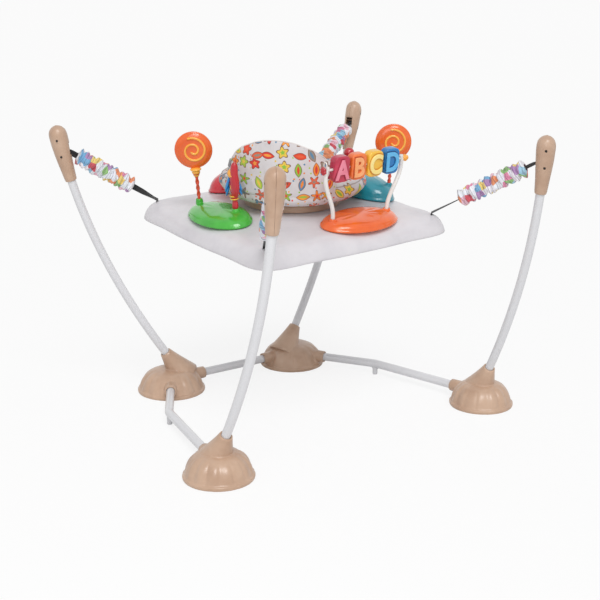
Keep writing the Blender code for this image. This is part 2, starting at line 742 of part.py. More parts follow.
def gathered_sleeve(name, start, end, material):
    """A cloth tube gathered over its spring: soft rings of folds between two narrow cuffs, with a bore."""
    length = (end - start).length
    along = (end - start) / length
    gathers = round(length / GATHER_PITCH)
    count = gathers * 2
    outer_points, outer_radii = [], []
    for i in range(count + 1):
        share = i / count
        swell = smooth_share(min(share, 1 - share) / 0.10)
        fold = GATHER_DEPTH * math.cos(math.tau * gathers * share)
        radius = SLEEVE_CUFF_RADIUS + (SLEEVE_RADIUS - SLEEVE_CUFF_RADIUS - fold) * swell
        outer_points.append(start + along * length * share)
        outer_radii.append(radius)
    up = Vector((0, 0, 1))
    rings = swept_rings(outer_points, outer_radii, SLEEVE_SIDES, up)
    for i, ring in enumerate(rings):
        middle, share = outer_points[i], i / count
        swell = smooth_share(min(share, 1 - share) / 0.10)
        for k, point in enumerate(ring):
            drift = 0.08 * swell * math.sin(2 * math.tau * k / SLEEVE_SIDES + 1.9 * i)
            ring[k] = middle + (point - middle) * (1 + drift)
    inner = swept_rings([end, start], [SLEEVE_BORE] * 2, SLEEVE_SIDES, up)
    bm = loft(bmesh.new(), rings + align_rings(rings[-1], inner), wrap=True)
    return add_mesh(name, bm, material)


def align_rings(reference, rings):
    """Turns each ring's order so that its points lie on the same sides as the reference's."""
    centre = sum(reference, Vector()) / len(reference)
    found = []
    for ring in rings:
        middle = sum(ring, Vector()) / len(ring)
        options = [ring[k:] + ring[:k] for k in range(len(ring))]
        options += [list(reversed(option)) for option in options]
        best = min(options, key=lambda o: sum(
            ((p - middle).normalized() - (q - centre).normalized()).length for p, q in zip(o, reference)
        ))
        found.append(best)
    return found


def spring_body(name, start, end):
    """The spring that the sleeve hides: its closed turns as one bar with narrower eyes."""
    along = (end - start).normalized()
    length = (end - start).length
    shares = ((0, 0.5), (0.04, 0.5), (0.07, 1), (0.93, 1), (0.96, 0.5), (1, 0.5))
    points = [start + along * length * s for s, _ in shares]
    radii = [SPRING_RADIUS * r for _, r in shares]
    return add_mesh(name, loft(bmesh.new(), swept_rings(points, radii, 10)), STEEL)


STRAP_TWISTS = {"front_left": 0.0, "front_right": 0.0, "rear_left": 80.0, "rear_right": -80.0}
for tower in TOWERS:
    corner = Vector((tower.side * SLOT_INSET, tower.end * SLOT_INSET, 0))
    deck_spot = TRAY_WORLD @ Vector((corner.x, corner.y, deck_height(corner.x, corner.y)))
    tray_up = (TRAY_WORLD.to_3x3() @ Vector((0, 0, 1))).normalized()
    outward = (TRAY_WORLD.to_3x3() @ Vector((tower.side, tower.end, 0))).normalized()
    across = outward.cross(tray_up).normalized()
    pull = (deck_spot - tower.pin).normalized()
    leave = tower.pin + pull * (PIN_RADIUS + 0.0009)
    land = deck_spot + tray_up * 0.003
    run = land - leave
    level = run.cross(Vector((0, 0, 1))).normalized()
    if level.dot(across) < 0:
        level = -level
    twisted = Matrix.Rotation(math.radians(STRAP_TWISTS[tower.name]), 3, run.normalized()) @ level
    spring_top = leave + run * UPPER_STRAP_SHARE
    spring_end = leave + run * (UPPER_STRAP_SHARE + SLEEVE_SHARE)
    along = run.normalized()
    ribbon(
        f"upper_strap_{tower.name}",
        [leave, leave.lerp(spring_top, 0.5), spring_top - along * FIT_GAP],
        [level, level, level],
        WEBBING_WIDTH, WEBBING_THICKNESS, BLACK_WEBBING,
    )
    spring_body(f"spring_{tower.name}", spring_top, spring_end)
    gathered_sleeve(f"sleeve_{tower.name}", spring_top, spring_end, GATHERED_FABRIC)
    bend_start = land - along * 0.012
    below = deck_spot - tray_up * (TRAY_WALL + BUCKLE_DROP + 0.006)
    lower = [spring_end + along * FIT_GAP, bend_start.lerp(spring_end, 0.5), bend_start, land, below]
    sides = [twisted, twisted.lerp(across, 0.5), across, across, across]
    ribbon(f"lower_strap_{tower.name}", lower, sides, WEBBING_WIDTH, WEBBING_THICKNESS, BLACK_WEBBING)
    axes = axes_matrix(across, outward, tray_up)
    slot_cutter = add_mesh(
        f"cutter_tray_slot_{tower.name}",
        box_mesh(bmesh.new(), (WEBBING_WIDTH + 0.0016, WEBBING_THICKNESS + 0.0016, 0.04), deck_spot, axes),
        TRAY_PLASTIC,
    )
    cut(tray, slot_cutter)
    plate = deck_spot - tray_up * (TRAY_WALL + BUCKLE_DROP)
    rectangles = []
    for half_x, half_y, z in (
        (WEBBING_WIDTH / 2 + 0.007, 0.008, 0.0025),
        (WEBBING_WIDTH / 2 + 0.007, 0.008, -0.0025),
        (WEBBING_WIDTH / 2 + 0.001, 0.0015, -0.0025),
        (WEBBING_WIDTH / 2 + 0.001, 0.0015, 0.0025),
    ):
        rectangles.append([
            plate + across * x * half_x + outward * y * half_y + tray_up * z
            for x, y in ((-1, -1), (1, -1), (1, 1), (-1, 1))
        ])
    add_mesh(f"strap_buckle_{tower.name}", loft(bmesh.new(), rectangles, wrap=True), BLACK_PLASTIC)


# Seat: a swivel ring that snaps into the tray's hole, a padded rim and a sling with two leg holes

seat_frame = add_empty("seat_frame", (0, 0, 0), tray_frame)
seat_frame.rotation_euler = (0, 0, SEAT_TURN)
ring_base = collar_top + FIT_GAP
ring_top = ring_base + SEAT_RING_HEIGHT
neck_radius = HUB_HOLE_RADIUS - 0.0015
lip_top = hub_deck - 0.012 - FIT_GAP * 2
neck_base = lip_top - SNAP_LIP_HEIGHT
turned_ring(
    "seat_ring",
    [
        (SEAT_RING_BORE, neck_base),
        (neck_radius, neck_base),
        (SNAP_LIP_RADIUS, lip_top - 0.002),
        (SNAP_LIP_RADIUS, lip_top),
        (neck_radius, lip_top),
        (neck_radius, ring_base),
        (SEAT_RING_RADIUS - 0.002, ring_base),
        (SEAT_RING_RADIUS, ring_base + 0.002),
        (SEAT_RING_RADIUS, ring_top - 0.006),
        (SEAT_RING_RADIUS - 0.007, ring_top),
        (SEAT_RING_BORE, ring_top),
    ],
    TAN_PLASTIC, seat_frame, 36,
)


def pad_section(angle):
    """Section of the padded rim at an angle from the seat's back: a tall back, low sides, a round bumper."""
    turn = abs((angle + math.pi) % math.tau - math.pi)
    back = smooth_share((PAD_BACK_WRAP - turn) / math.radians(16))
    front = smooth_share((turn - PAD_BACK_WRAP - math.radians(4)) / math.radians(22))
    arch = PAD_BACK_HEIGHT - PAD_ARCH_DROP * (turn / PAD_BACK_WRAP) ** 2
    height = PAD_SIDE_HEIGHT + (arch - PAD_SIDE_HEIGHT) * back + (PAD_FRONT_HEIGHT - PAD_SIDE_HEIGHT) * front
    radius = PAD_SIDE_RADIUS + (PAD_BACK_RADIUS - PAD_SIDE_RADIUS) * back
    radius += (PAD_FRONT_RADIUS - PAD_SIDE_RADIUS) * front
    thick = PAD_ROLL_THICKNESS + (PAD_BACK_THICKNESS - PAD_ROLL_THICKNESS) * back
    base = ring_top + 0.0006
    inner = SEAT_RING_BORE + 0.004
    outer = SEAT_RING_RADIUS - 0.006
    belly = radius - 0.004 * back
    lean = 0.012 * back
    return [
        (inner, base),
        (outer, base),
        (outer + (belly - outer) * 0.62, base + 0.005 + 0.014 * front),
        (belly, base + 0.022 + 0.022 * front),
        (radius + lean * 0.3, base + (height - base) * 0.72),
        (radius + lean * 0.2 - thick * 0.15, height - thick * 0.16),
        (radius + lean * 0.2 - thick * 0.5, height),
        (radius + lean * 0.2 - thick * 0.85, height - thick * 0.16),
        (radius - thick, base + (height - base) * 0.72),
        (inner + 0.010, base + 0.020),
    ]


pad_rings = []
PAD_STEPS = 56
for k in range(PAD_STEPS):
    angle = math.tau * k / PAD_STEPS
    heading = angle + math.pi / 2
    pucker = 0.0016 * math.sin(14 * angle)
    section = pad_section(angle)
    ring = []
    for number, (r, z) in enumerate(section):
        puff = pucker if number in (3, 4, 5) else 0.0
        ring.append(((r + puff) * math.cos(heading), (r + puff) * math.sin(heading), z))
    pad_rings.append(ring)
add_mesh("seat_pad", loft(bmesh.new(), pad_rings, wrap=True), SEAT_FABRIC, seat_frame)

bucket_top = ring_top - 0.001
bucket_radius = SEAT_RING_BORE - 0.0008
BUCKET_SHAPE = [(1.0, 0.0), (0.97, 0.40), (0.86, 0.75), (0.62, 0.94), (0.28, 1.0)]
outside = [(bucket_radius * r, bucket_top - BUCKET_DROP * 1.35 * d) for r, d in BUCKET_SHAPE]
inside = [
    (max(r - BUCKET_WALL, 0.0), z + (BUCKET_WALL if number > 2 else 0.0)) for number, (r, z) in enumerate(outside)
]
bucket_profile = [(0.0, outside[-1][1])] + outside[::-1] + inside + [(0.0, inside[-1][1])]
bucket = turned("seat_bucket", bucket_profile, SEAT_FABRIC, seat_frame, 28)
for side in (-1, 1):
    outward = Vector((side * 0.72, -0.70, -0.25)).normalized()
    start = Vector((side * 0.020, -0.010, bucket_top - BUCKET_DROP * 0.92))
    leg_cutter = add_mesh(
        f"cutter_leg_{'left' if side < 0 else 'right'}",
        rod_mesh(bmesh.new(), start, start + outward * 0.16, LEG_HOLE_RADIUS * 0.7, 18, LEG_HOLE_RADIUS),
        SEAT_FABRIC, seat_frame,
    )
    cut(bucket, leg_cutter)


# Toy stations: oval moulded dishes that stand on the deck, one to each side of the tray

def station_frame(name, heading, tangent_shift=0.0, distance=STATION_DISTANCE):
    """An empty at a station, tilted with the deck: its X runs along the tray's side and its Y points outward."""
    outward = Vector((math.cos(heading), math.sin(heading), 0))
    along = Vector((-outward.y, outward.x, 0))
    spot = outward * distance + along * tangent_shift
    near, far = spot - outward * 0.05, spot + outward * 0.05
    near.z, far.z = deck_height(near.x, near.y), deck_height(far.x, far.y)
    spot.z = deck_height(spot.x, spot.y)
    y_axis = (far - near).normalized()
    x_axis = y_axis.cross(Vector((0, 0, 1))).normalized()
    z_axis = x_axis.cross(y_axis).normalized()
    spot += z_axis * STATION_LIFT
    empty = add_empty(name, spot, tray_frame)
    empty.rotation_euler = axes_matrix(x_axis, y_axis, z_axis).to_euler()
    return empty


def station_dish(name, material, parent, height, fullness, ribs=7, segments=28):
    """An oval dish with low ribs along it and a foot rim."""
    half_x, half_y = STATION_LENGTH / 2, STATION_WIDTH / 2
    levels = [
        (0.97, 0.0),
        (1.0, 0.002),
        (1.0, 0.0055),
        (0.965, 0.0085),
    ]
    rows = 5
    for i in range(1, rows):
        angle = math.radians(90) * i / rows
        levels.append((0.965 * math.cos(angle) ** fullness, 0.0085 + (height - 0.0085) * math.sin(angle)))
    rings = []
    for number, (share, z) in enumerate(levels):
        ring = []
        for k in range(segments):
            turn = math.tau * k / segments
            x, y = share * half_x * math.cos(turn), share * half_y * math.sin(turn)
            rib = 0.0011 * math.cos(ribs * math.tau * y / STATION_WIDTH) if number > 3 else 0.0
            ring.append((x, y, z + rib * (1 - share) ** 0.3))
        rings.append(ring)
    rings.append([(0, 0, height)])
    return add_mesh(name, loft(bmesh.new(), rings), material, parent)


def add_boss(dish, name, x, y, base, top, radius=BOSS_RADIUS):
    """A round boss on a dish, made one with it."""
    boss = turned(
        f"cutter_boss_{name}",
        [(0, base), (radius * 1.25, base), (radius, top - 0.003), (radius * 0.85, top), (0, top)],
        dish.data.materials[0], dish.parent, 14,
    )
    boss.location = (x, y, 0)
    cut(dish, boss, "UNION")


def bore_boss(dish, name, x, y, top, depth, radius):
    hole = turned(
        f"cutter_hole_{name}",
        [(0, top - depth), (radius, top - depth), (radius, top + 0.01), (0, top + 0.01)],
        dish.data.materials[0], dish.parent, 12,
    )
    hole.location = (x, y, 0)
    cut(dish, hole)


LOW_FULLNESS = 0.62
HIGH_FULLNESS = 0.80
green_frame = station_frame("green_station", math.pi, 0.0)
orange_frame = station_frame("orange_station", -math.pi / 2, 0.042, STATION_DISTANCE + 0.009)
teal_frame = station_frame("teal_station", 0.0, -0.015)
crimson_frame = station_frame("crimson_station", math.pi / 2, 0.0)
green_dish = station_dish("toy_base_green", GREEN_PLASTIC, green_frame, STATION_HEIGHT, LOW_FULLNESS)
orange_dish = station_dish("toy_base_orange", ORANGE_PLASTIC, orange_frame, STATION_HEIGHT, LOW_FULLNESS)
teal_dish = station_dish("toy_base_teal", TEAL_PLASTIC, teal_frame, DOME_HEIGHT, HIGH_FULLNESS)
crimson_dish = station_dish("toy_base_crimson", CRIMSON_PLASTIC, crimson_frame, DOME_HEIGHT, HIGH_FULLNESS)


def lollipop(word, dish, parent, x, y, base, rise):
    """A round flat toy on a twisted stem with a ringed collar: the stem is fixed, and the disc turns on it."""
    boss_top = base
    add_boss(dish, f"lollipop_{word}", x, y, 0.004, boss_top, 0.0095)
    bore_boss(dish, f"lollipop_{word}", x, y, boss_top, 0.010, STEM_RADIUS + FIT_GAP * 2)
    stem_base = boss_top - 0.010 + FIT_GAP
    stem_top = boss_top + rise - LOLLIPOP_RADIUS - 0.020
    rings = []
    steps = 18
    for i in range(steps + 1):
        z = stem_base + (stem_top - stem_base) * i / steps
        twisted = min(max((z - boss_top) / 0.006, 0.0), 1.0)
        ring = []
        for k in range(8):
            turn = math.tau * k / 8
            wave = 0.0011 * twisted * math.cos(2 * turn - math.tau * 4.5 * i / steps)
            r = STEM_RADIUS - 0.0004 * twisted + wave
            ring.append((r * math.cos(turn), r * math.sin(turn), z))
        rings.append(ring)
    collar = ((0, 0.0085), (0.005, 0.0105), (0.010, 0.0075), (0.016, 0.0095), (0.0195, 0.0060))
    for z, r in (*collar, (0.0196, SPIGOT_RADIUS), (0.0295, SPIGOT_RADIUS)):
        rings.append([
            (r * math.cos(math.tau * k / 8), r * math.sin(math.tau * k / 8), stem_top + 0.0004 + z)
            for k in range(8)
        ])
    stem = add_mesh(f"lollipop_stem_{word}", loft(bmesh.new(), rings), CRIMSON_PLASTIC, parent)
    stem.location = (x, y, 0)
    centre_height = stem_top + 0.020 + LOLLIPOP_RADIUS
    half = LOLLIPOP_THICKNESS / 2
    shape = ((0, -1), (0.66, -1), (0.90, -0.74), (1, -0.25), (1, 0.25), (0.90, 0.74), (0.66, 1), (0, 1))
    outline = [(LOLLIPOP_RADIUS * r, half * z) for r, z in shape]
    disc = turned(f"lollipop_disc_{word}", outline, ORANGE_PLASTIC, parent, 26)
    disc.location = (x, y, centre_height)
    hole_ends = ((0, 0, -LOLLIPOP_RADIUS - 0.005), (0, 0, -LOLLIPOP_RADIUS + 0.0105))
    hole = rod_mesh(bmesh.new(), hole_ends[0], hole_ends[1], SPIGOT_RADIUS + SPIGOT_GAP, 12)
    hole = add_mesh(f"cutter_disc_{word}", hole, ORANGE_PLASTIC, parent)
    hole.location = disc.location
    cut(disc, hole)
    return disc


left_disc = lollipop("left", green_dish, green_frame, 0.097, 0.0, 0.032, LOLLIPOP_RISE)
right_disc = lollipop("right", teal_dish, teal_frame, 0.078, 0.026, 0.046, LOLLIPOP_RISE - 0.020)
left_disc.rotation_euler = (math.radians(90), 0, math.radians(-125))
right_disc.rotation_euler = (math.radians(90), 0, math.radians(55))

# Letter arch: two bowed posts on the orange dish carry a rod with four turning tiles

half_span = ARCH_SPAN / 2
arch_base = 0.026
rod_height = arch_base + ARCH_RISE - 0.009


def arch_post_offset(height):
    """How far an arch post bows outward at a height above its dish."""
    share = max(height - arch_base - 0.002, 0) / ARCH_RISE
    return ARCH_BOW * math.sin(math.pi * 0.62 * share) ** 2


rod_reach = half_span + arch_post_offset(rod_height) + ARCH_TUBE_RADIUS + 0.004
for side, word in ((1, "left"), (-1, "right")):
    x = side * half_span
    add_boss(orange_dish, f"arch_{word}", x, 0.0, 0.004, arch_base, 0.0110)
    bore_boss(orange_dish, f"arch_{word}", x, 0.0, arch_base, 0.010, ARCH_TUBE_RADIUS + FIT_GAP * 3)
    foot = arch_base - 0.010 + FIT_GAP
    heights = [foot + (ARCH_RISE + 0.010) * i / 10 for i in range(11)]
    path = [Vector((x + side * arch_post_offset(z), 0.0, z)) for z in heights]
    rings = swept_rings(path, [ARCH_TUBE_RADIUS] * 11, 10, Vector((0, 1, 0)))
    arch_post = add_mesh(f"arch_post_{word}", loft(bmesh.new(), rings), CREAM_PLASTIC, orange_frame)
    eye_x = side * (half_span + arch_post_offset(rod_height))
    eye_ends = ((eye_x - 0.02, 0, rod_height), (eye_x + 0.02, 0, rod_height))
    eye = rod_mesh(bmesh.new(), eye_ends[0], eye_ends[1], ROD_RADIUS + FIT_GAP, 12)
    cut(arch_post, add_mesh(f"cutter_eye_{word}", eye, CREAM_PLASTIC, orange_frame))
rod_ends = ((-rod_reach, 0, rod_height), (rod_reach, 0, rod_height))
add_mesh("letter_rod", rod_mesh(bmesh.new(), rod_ends[0], rod_ends[1], ROD_RADIUS, 12), CREAM_PLASTIC, orange_frame)


def rounded_tile(name, material, parent):
    """A thick tile with round corners and a bore for the rod across it."""
    half_w, half_h = TILE_WIDTH / 2, TILE_HEIGHT / 2
    corner = half_w * 0.55
    points = []
    for cx, cz, first in ((1, 1, 0), (-1, 1, 90), (-1, -1, 180), (1, -1, 270)):
        for i in range(4):
            angle = math.radians(first + 90 * i / 3)
            points.append((
                cx * (half_w - corner) + corner * math.cos(angle),
                cz * (half_h - corner) + corner * math.sin(angle),
            ))
    half_t = TILE_THICKNESS / 2
    rings = [
        [(x * s, y, z * s) for x, z in points]
        for y, s in ((-half_t, 0.93), (-half_t + 0.002, 1.0), (half_t - 0.002, 1.0), (half_t, 0.93))
    ]
    return add_mesh(name, loft(bmesh.new(), rings), material, parent)


TILES = (("a", ROSE_PLASTIC), ("b", APRICOT_PLASTIC), ("c", YELLOW_PLASTIC), ("d", BLUE_PLASTIC))
for number, (letter, material) in enumerate(TILES):
    axle = add_empty(
        f"tile_axle_{letter}", (TILE_PITCH * (1.5 - number), 0, rod_height), orange_frame
    )
    tile = rounded_tile(f"letter_tile_{letter}", material, axle)
    bore = add_mesh(
        f"cutter_tile_{letter}",
        rod_mesh(bmesh.new(), (-0.05, 0, 0), (0.05, 0, 0), ROD_RADIUS + 0.0006, 12),
        material, axle,
    )
    cut(tile, bore)

# Bird figure on the green dish, and the ball on its peg on the teal dome

add_boss(green_dish, "bird", -0.045, -0.022, 0.004, 0.031, 0.0100)
bore_boss(green_dish, "bird", -0.045, -0.022, 0.031, SPIGOT_DEPTH + FIT_GAP, SPIGOT_RADIUS + SPIGOT_GAP)
bird_axle = add_empty("bird_axle", (-0.045, -0.022, 0.031 + FIT_GAP), green_frame)


def stacked_ovals(name, levels, material, parent, segments=12):
    """An upright form from ovals: (height, centre x, centre y, half width, half depth)."""
    rings = []
    for z, cx, cy, rx, ry in levels:
        if rx < 1e-6:
            rings.append([(cx, cy, z)])
            continue
        step = math.tau / segments
        rings.append([(cx + rx * math.cos(k * step), cy + ry * math.sin(k * step), z) for k in range(segments)])
    return add_mesh(name, loft(bmesh.new(), rings), material, parent)


bird_levels = [
    (-SPIGOT_DEPTH, 0, 0, SPIGOT_RADIUS, SPIGOT_RADIUS),
    (-0.0001, 0, 0, SPIGOT_RADIUS, SPIGOT_RADIUS),
    (0.0, 0, 0, 0.0090, 0.0080),
    (0.010, 0, 0, 0.0105, 0.0090),
    (0.020, -0.001, 0, 0.0060, 0.0060),
    (0.032, -0.003, 0, 0.0110, 0.0080),
    (0.050, -0.006, 0, 0.0160, 0.0115),
    (0.070, -0.008, 0, 0.0170, 0.0120),
    (0.086, -0.010, 0, 0.0130, 0.0105),
    (0.094, -0.011, 0, 0.0110, 0.0095),
    (0.106, -0.013, 0, 0.0120, 0.0105),
    (0.117, -0.015, 0, 0.0100, 0.0090),
    (0.124, -0.016, 0, 0.0050, 0.0045),
    (0.126, -0.016, 0, 0.0, 0.0),
]
stacked_ovals("bird_figure", bird_levels, CRIMSON_PLASTIC, bird_axle)

add_boss(teal_dish, "ball", -0.075, 0.0, 0.010, 0.056, 0.0090)
bore_boss(teal_dish, "ball", -0.075, 0.0, 0.056, SPIGOT_DEPTH + FIT_GAP, SPIGOT_RADIUS + SPIGOT_GAP)
ball_axle = add_empty("ball_axle", (-0.075, 0.0, 0.056 + FIT_GAP), teal_frame)
BALL_PROFILE = [
    (0, -SPIGOT_DEPTH), (SPIGOT_RADIUS, -SPIGOT_DEPTH), (SPIGOT_RADIUS, -0.0001),
    (0.0075, 0), (0.0075, 0.004), (0.0035, 0.007), (0.0030, 0.028),
]
for i in range(1, 8):
    angle = math.radians(-76 + 166 * i / 7)
    across = max(BALL_RADIUS * math.cos(angle), 0.0) if i < 7 else 0.0
    BALL_PROFILE.append((across, BALL_HEIGHT + BALL_RADIUS * math.sin(angle)))
turned("ball_toy", BALL_PROFILE, CRIMSON_PLASTIC, ball_axle, 16)

print("objects that become pieces:", sum(1 for o in bpy.data.objects if not o.hide_render and o.type != "EMPTY"))
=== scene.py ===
import json
import math

import bmesh
import bpy
from mathutils import Matrix, Vector, noise
from mathutils.bvhtree import BVHTree


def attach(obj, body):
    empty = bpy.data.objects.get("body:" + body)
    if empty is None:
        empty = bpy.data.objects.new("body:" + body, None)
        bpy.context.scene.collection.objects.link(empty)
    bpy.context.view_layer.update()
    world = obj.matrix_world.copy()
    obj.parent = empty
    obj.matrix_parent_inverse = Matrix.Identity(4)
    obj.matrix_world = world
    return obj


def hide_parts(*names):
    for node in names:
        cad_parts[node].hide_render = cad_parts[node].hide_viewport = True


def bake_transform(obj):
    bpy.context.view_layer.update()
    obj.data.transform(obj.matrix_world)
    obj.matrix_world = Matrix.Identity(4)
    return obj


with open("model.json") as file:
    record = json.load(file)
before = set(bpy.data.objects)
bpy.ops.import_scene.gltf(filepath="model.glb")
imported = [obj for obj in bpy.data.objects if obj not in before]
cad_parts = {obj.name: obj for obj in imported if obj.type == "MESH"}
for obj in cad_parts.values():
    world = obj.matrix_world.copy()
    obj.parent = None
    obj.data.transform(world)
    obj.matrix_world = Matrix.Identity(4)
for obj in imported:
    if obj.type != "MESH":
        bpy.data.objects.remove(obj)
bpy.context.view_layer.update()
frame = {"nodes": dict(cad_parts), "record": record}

scene = bpy.context.scene
nodes = frame["nodes"]
corners = ("front_left", "front_right", "rear_left", "rear_right")


# Small helpers

def toLinear(hexColour):
    # hex as a designer writes it, turned to the linear values that Blender uses
    values = [int(hexColour[i:i + 2], 16) / 255 for i in (0, 2, 4)]
    return (*[v / 12.92 if v <= 0.04045 else ((v + 0.055) / 1.055) ** 2.4 for v in values], 1.0)


def addNode(tree, kind, links=None, **settings):
    node = tree.nodes.new(kind)
    for name, value in settings.items():
        setattr(node, name, value)
    for socket, value in (links or {}).items():
        if isinstance(value, bpy.types.NodeSocket):
            tree.links.new(value, node.inputs[socket])
        else:
            node.inputs[socket].default_value = value
    return node


def startMaterial(name, **finish):
    material = bpy.data.materials.new(name)
    material.use_nodes = True
    shader = material.node_tree.nodes["Principled BSDF"]
    for socket, value in finish.items():
        shader.inputs[socket.replace("_", " ")].default_value = value
    return material, material.node_tree, shader


def calculate(tree, operation, *values):
    # one math node; gives its output
    return addNode(tree, "ShaderNodeMath", dict(enumerate(values)), operation=operation).outputs[0]


def mixColours(tree, share, under, over):
    return addNode(
        tree, "ShaderNodeMix", {"Factor": share, "A": under, "B": over}, data_type="RGBA"
    ).outputs["Result"]


def rampColour(tree, value, stops, interpolation="LINEAR"):
    # a colour ramp from (position, hex) stops; gives its colour
    node = addNode(tree, "ShaderNodeValToRGB", {"Fac": value})
    ramp = node.color_ramp
    ramp.interpolation = interpolation
    while len(ramp.elements) < len(stops):
        ramp.elements.new(0.5)
    for element, (position, colour) in zip(ramp.elements, stops):
        element.position = position
        element.color = toLinear(colour)
    return node.outputs["Color"]


def coverMesh(mesh, material, smooth=True):
    # one material, smooth or flat
    mesh.materials.clear()
    mesh.materials.append(material)
    mesh.polygons.foreach_set("use_smooth", [smooth] * len(mesh.polygons))


def finishPiece(name, bm, material, body, smooth=True):
    # closes the bmesh into a piece that rides on a body
    bmesh.ops.remove_doubles(bm, verts=bm.verts, dist=0.00002)
    bmesh.ops.recalc_face_normals(bm, faces=bm.faces)
    mesh = bpy.data.meshes.new(name)
    bm.to_mesh(mesh)
    bm.free()
    piece = bpy.data.objects.new(name, mesh)
    scene.collection.objects.link(piece)
    coverMesh(mesh, material, smooth)
    if body:
        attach(piece, body)
    return piece


def placeAt(spot, zAxis, xHint=(1, 0, 0)):
    # a matrix whose Z runs along zAxis and whose X leans to xHint
    z = Vector(zAxis).normalized()
    y = z.cross(Vector(xHint)).normalized()
    x = y.cross(z)
    return Matrix.Translation(spot) @ Matrix((x, y, z)).transposed().to_4x4()


# Camera and light

view = {
    "spot": (-1.8639, -2.5594, 1.1988),
    "pitch": 74.5,  # degrees up from straight down
    "heading": -35.7,
    "lens": 73.14,
}
camera = bpy.data.objects.new("camera", bpy.data.cameras.new("camera"))
scene.collection.objects.link(camera)
camera.location = view["spot"]
camera.rotation_euler = (math.radians(view["pitch"]), 0, math.radians(view["heading"]))
camera.data.lens = view["lens"]
camera.data.sensor_width = 36
scene.camera = camera
scene.view_settings.view_transform = "Standard"

studio = {
    "skyStrength": 0.50,
    "keyStrength": 1.35,
    "keySoftness": 28,  # degrees
    "keyTurn": (math.radians(38), math.radians(-12), math.radians(-8)),
    "fillPower": 9,
    "floorColour": "F7F7F7",
}
world = bpy.data.worlds.new("studio")
scene.world = world
world.use_nodes = True
worldTree = world.node_tree
worldTree.nodes.clear()
path = addNode(worldTree, "ShaderNodeLightPath")
seen = addNode(
    worldTree, "ShaderNodeMath", {0: path.outputs["Is Camera Ray"], 1: path.outputs["Is Glossy Ray"]},
    operation="MAXIMUM",
)
soft = addNode(worldTree, "ShaderNodeBackground", {"Color": (1, 1, 1, 1), "Strength": studio["skyStrength"]})
plain = addNode(worldTree, "ShaderNodeBackground", {"Color": (1, 1, 1, 1), "Strength": 1.0})
mixed = addNode(worldTree, "ShaderNodeMixShader", {0: seen.outputs[0], 1: soft.outputs[0], 2: plain.outputs[0]})
addNode(worldTree, "ShaderNodeOutputWorld", {"Surface": mixed.outputs[0]})

key = bpy.data.objects.new("keyLight", bpy.data.lights.new("keyLight", "SUN"))
key.data.energy = studio["keyStrength"]
key.data.angle = math.radians(studio["keySoftness"])
key.rotation_euler = studio["keyTurn"]
scene.collection.objects.link(key)
fill = bpy.data.objects.new("softBox", bpy.data.lights.new("softBox", "AREA"))
fill.data.energy = studio["fillPower"]
fill.data.size = 1.2
fill.location = (-1.5, -1.6, 1.7)
fill.rotation_euler = (math.radians(52), 0, math.radians(-42))
scene.collection.objects.link(fill)


def makeFloorPaint():
    # matt studio floor: mostly its own even white, with the soft shadow of what stands on it
    material, tree, shader = startMaterial("matt studio floor", Roughness=0.9)
    tree.nodes.remove(shader)
    white = toLinear(studio["floorColour"])
    even = addNode(tree, "ShaderNodeEmission", {"Color": (1, 1, 1, 1), "Strength": 1.0})
    matt = addNode(tree, "ShaderNodeBsdfDiffuse", {"Color": white})
    rays = addNode(tree, "ShaderNodeLightPath")
    share = addNode(tree, "ShaderNodeMath", {0: rays.outputs["Is Camera Ray"], 1: 0.82}, operation="MULTIPLY")
    both = addNode(tree, "ShaderNodeMixShader", {0: share.outputs[0], 1: matt.outputs[0], 2: even.outputs[0]})
    tree.links.new(both.outputs[0], tree.nodes["Material Output"].inputs["Surface"])
    return material


bm = bmesh.new()
bmesh.ops.create_circle(bm, cap_ends=True, segments=64, radius=40)
floor = finishPiece("floor", bm, makeFloorPaint(), None, smooth=False)
floor.location.z = -0.0004
print("camera, light and floor are set")


# Materials

def makeMouldedPlastic(name, colour, deep, roughness=0.32, grain=0.0009, grainDepth=0.04, coat=0.0):
    # injection moulded ABS: even colour with faint flow shading and a fine grain, soft highlights
    material, tree, shader = startMaterial(name, Roughness=roughness, IOR=1.5, Coat_Weight=coat, Coat_Roughness=0.12)
    place = addNode(tree, "ShaderNodeTexCoord")
    flow = addNode(
        tree, "ShaderNodeTexNoise", {"Vector": place.outputs["Object"], "Scale": 14, "Detail": 3, "Roughness": 0.6}
    )
    tone = rampColour(tree, flow.outputs["Fac"], [(0.3, deep), (0.62, colour)])
    grains = addNode(
        tree, "ShaderNodeTexNoise", {"Vector": place.outputs["Object"], "Scale": 1 / grain, "Detail": 2}
    )
    bump = addNode(
        tree, "ShaderNodeBump", {"Height": grains.outputs["Fac"], "Strength": grainDepth, "Distance": 0.0004}
    )
    tree.links.new(tone, shader.inputs["Base Color"])
    tree.links.new(bump.outputs["Normal"], shader.inputs["Normal"])
    return material


def makeTubePaint():
    # steel tube under gloss white enamel: a thin coat over faint drawing ripples
    material, tree, shader = startMaterial(
        "gloss white enamelled tube", Roughness=0.28, IOR=1.5, Coat_Weight=0.5, Coat_Roughness=0.08
    )
    place = addNode(tree, "ShaderNodeTexCoord")
    speckle = addNode(tree, "ShaderNodeTexNoise", {"Vector": place.outputs["Object"], "Scale": 420, "Detail": 3})
    tone = rampColour(tree, speckle.outputs["Fac"], [(0.3, "D6D6D9"), (0.6, "DDDDE0")])
    bump = addNode(
        tree, "ShaderNodeBump", {"Height": speckle.outputs["Fac"], "Strength": 0.012, "Distance": 0.0005}
    )
    tree.links.new(tone, shader.inputs["Base Color"])
    tree.links.new(bump.outputs["Normal"], shader.inputs["Normal"])
    return material


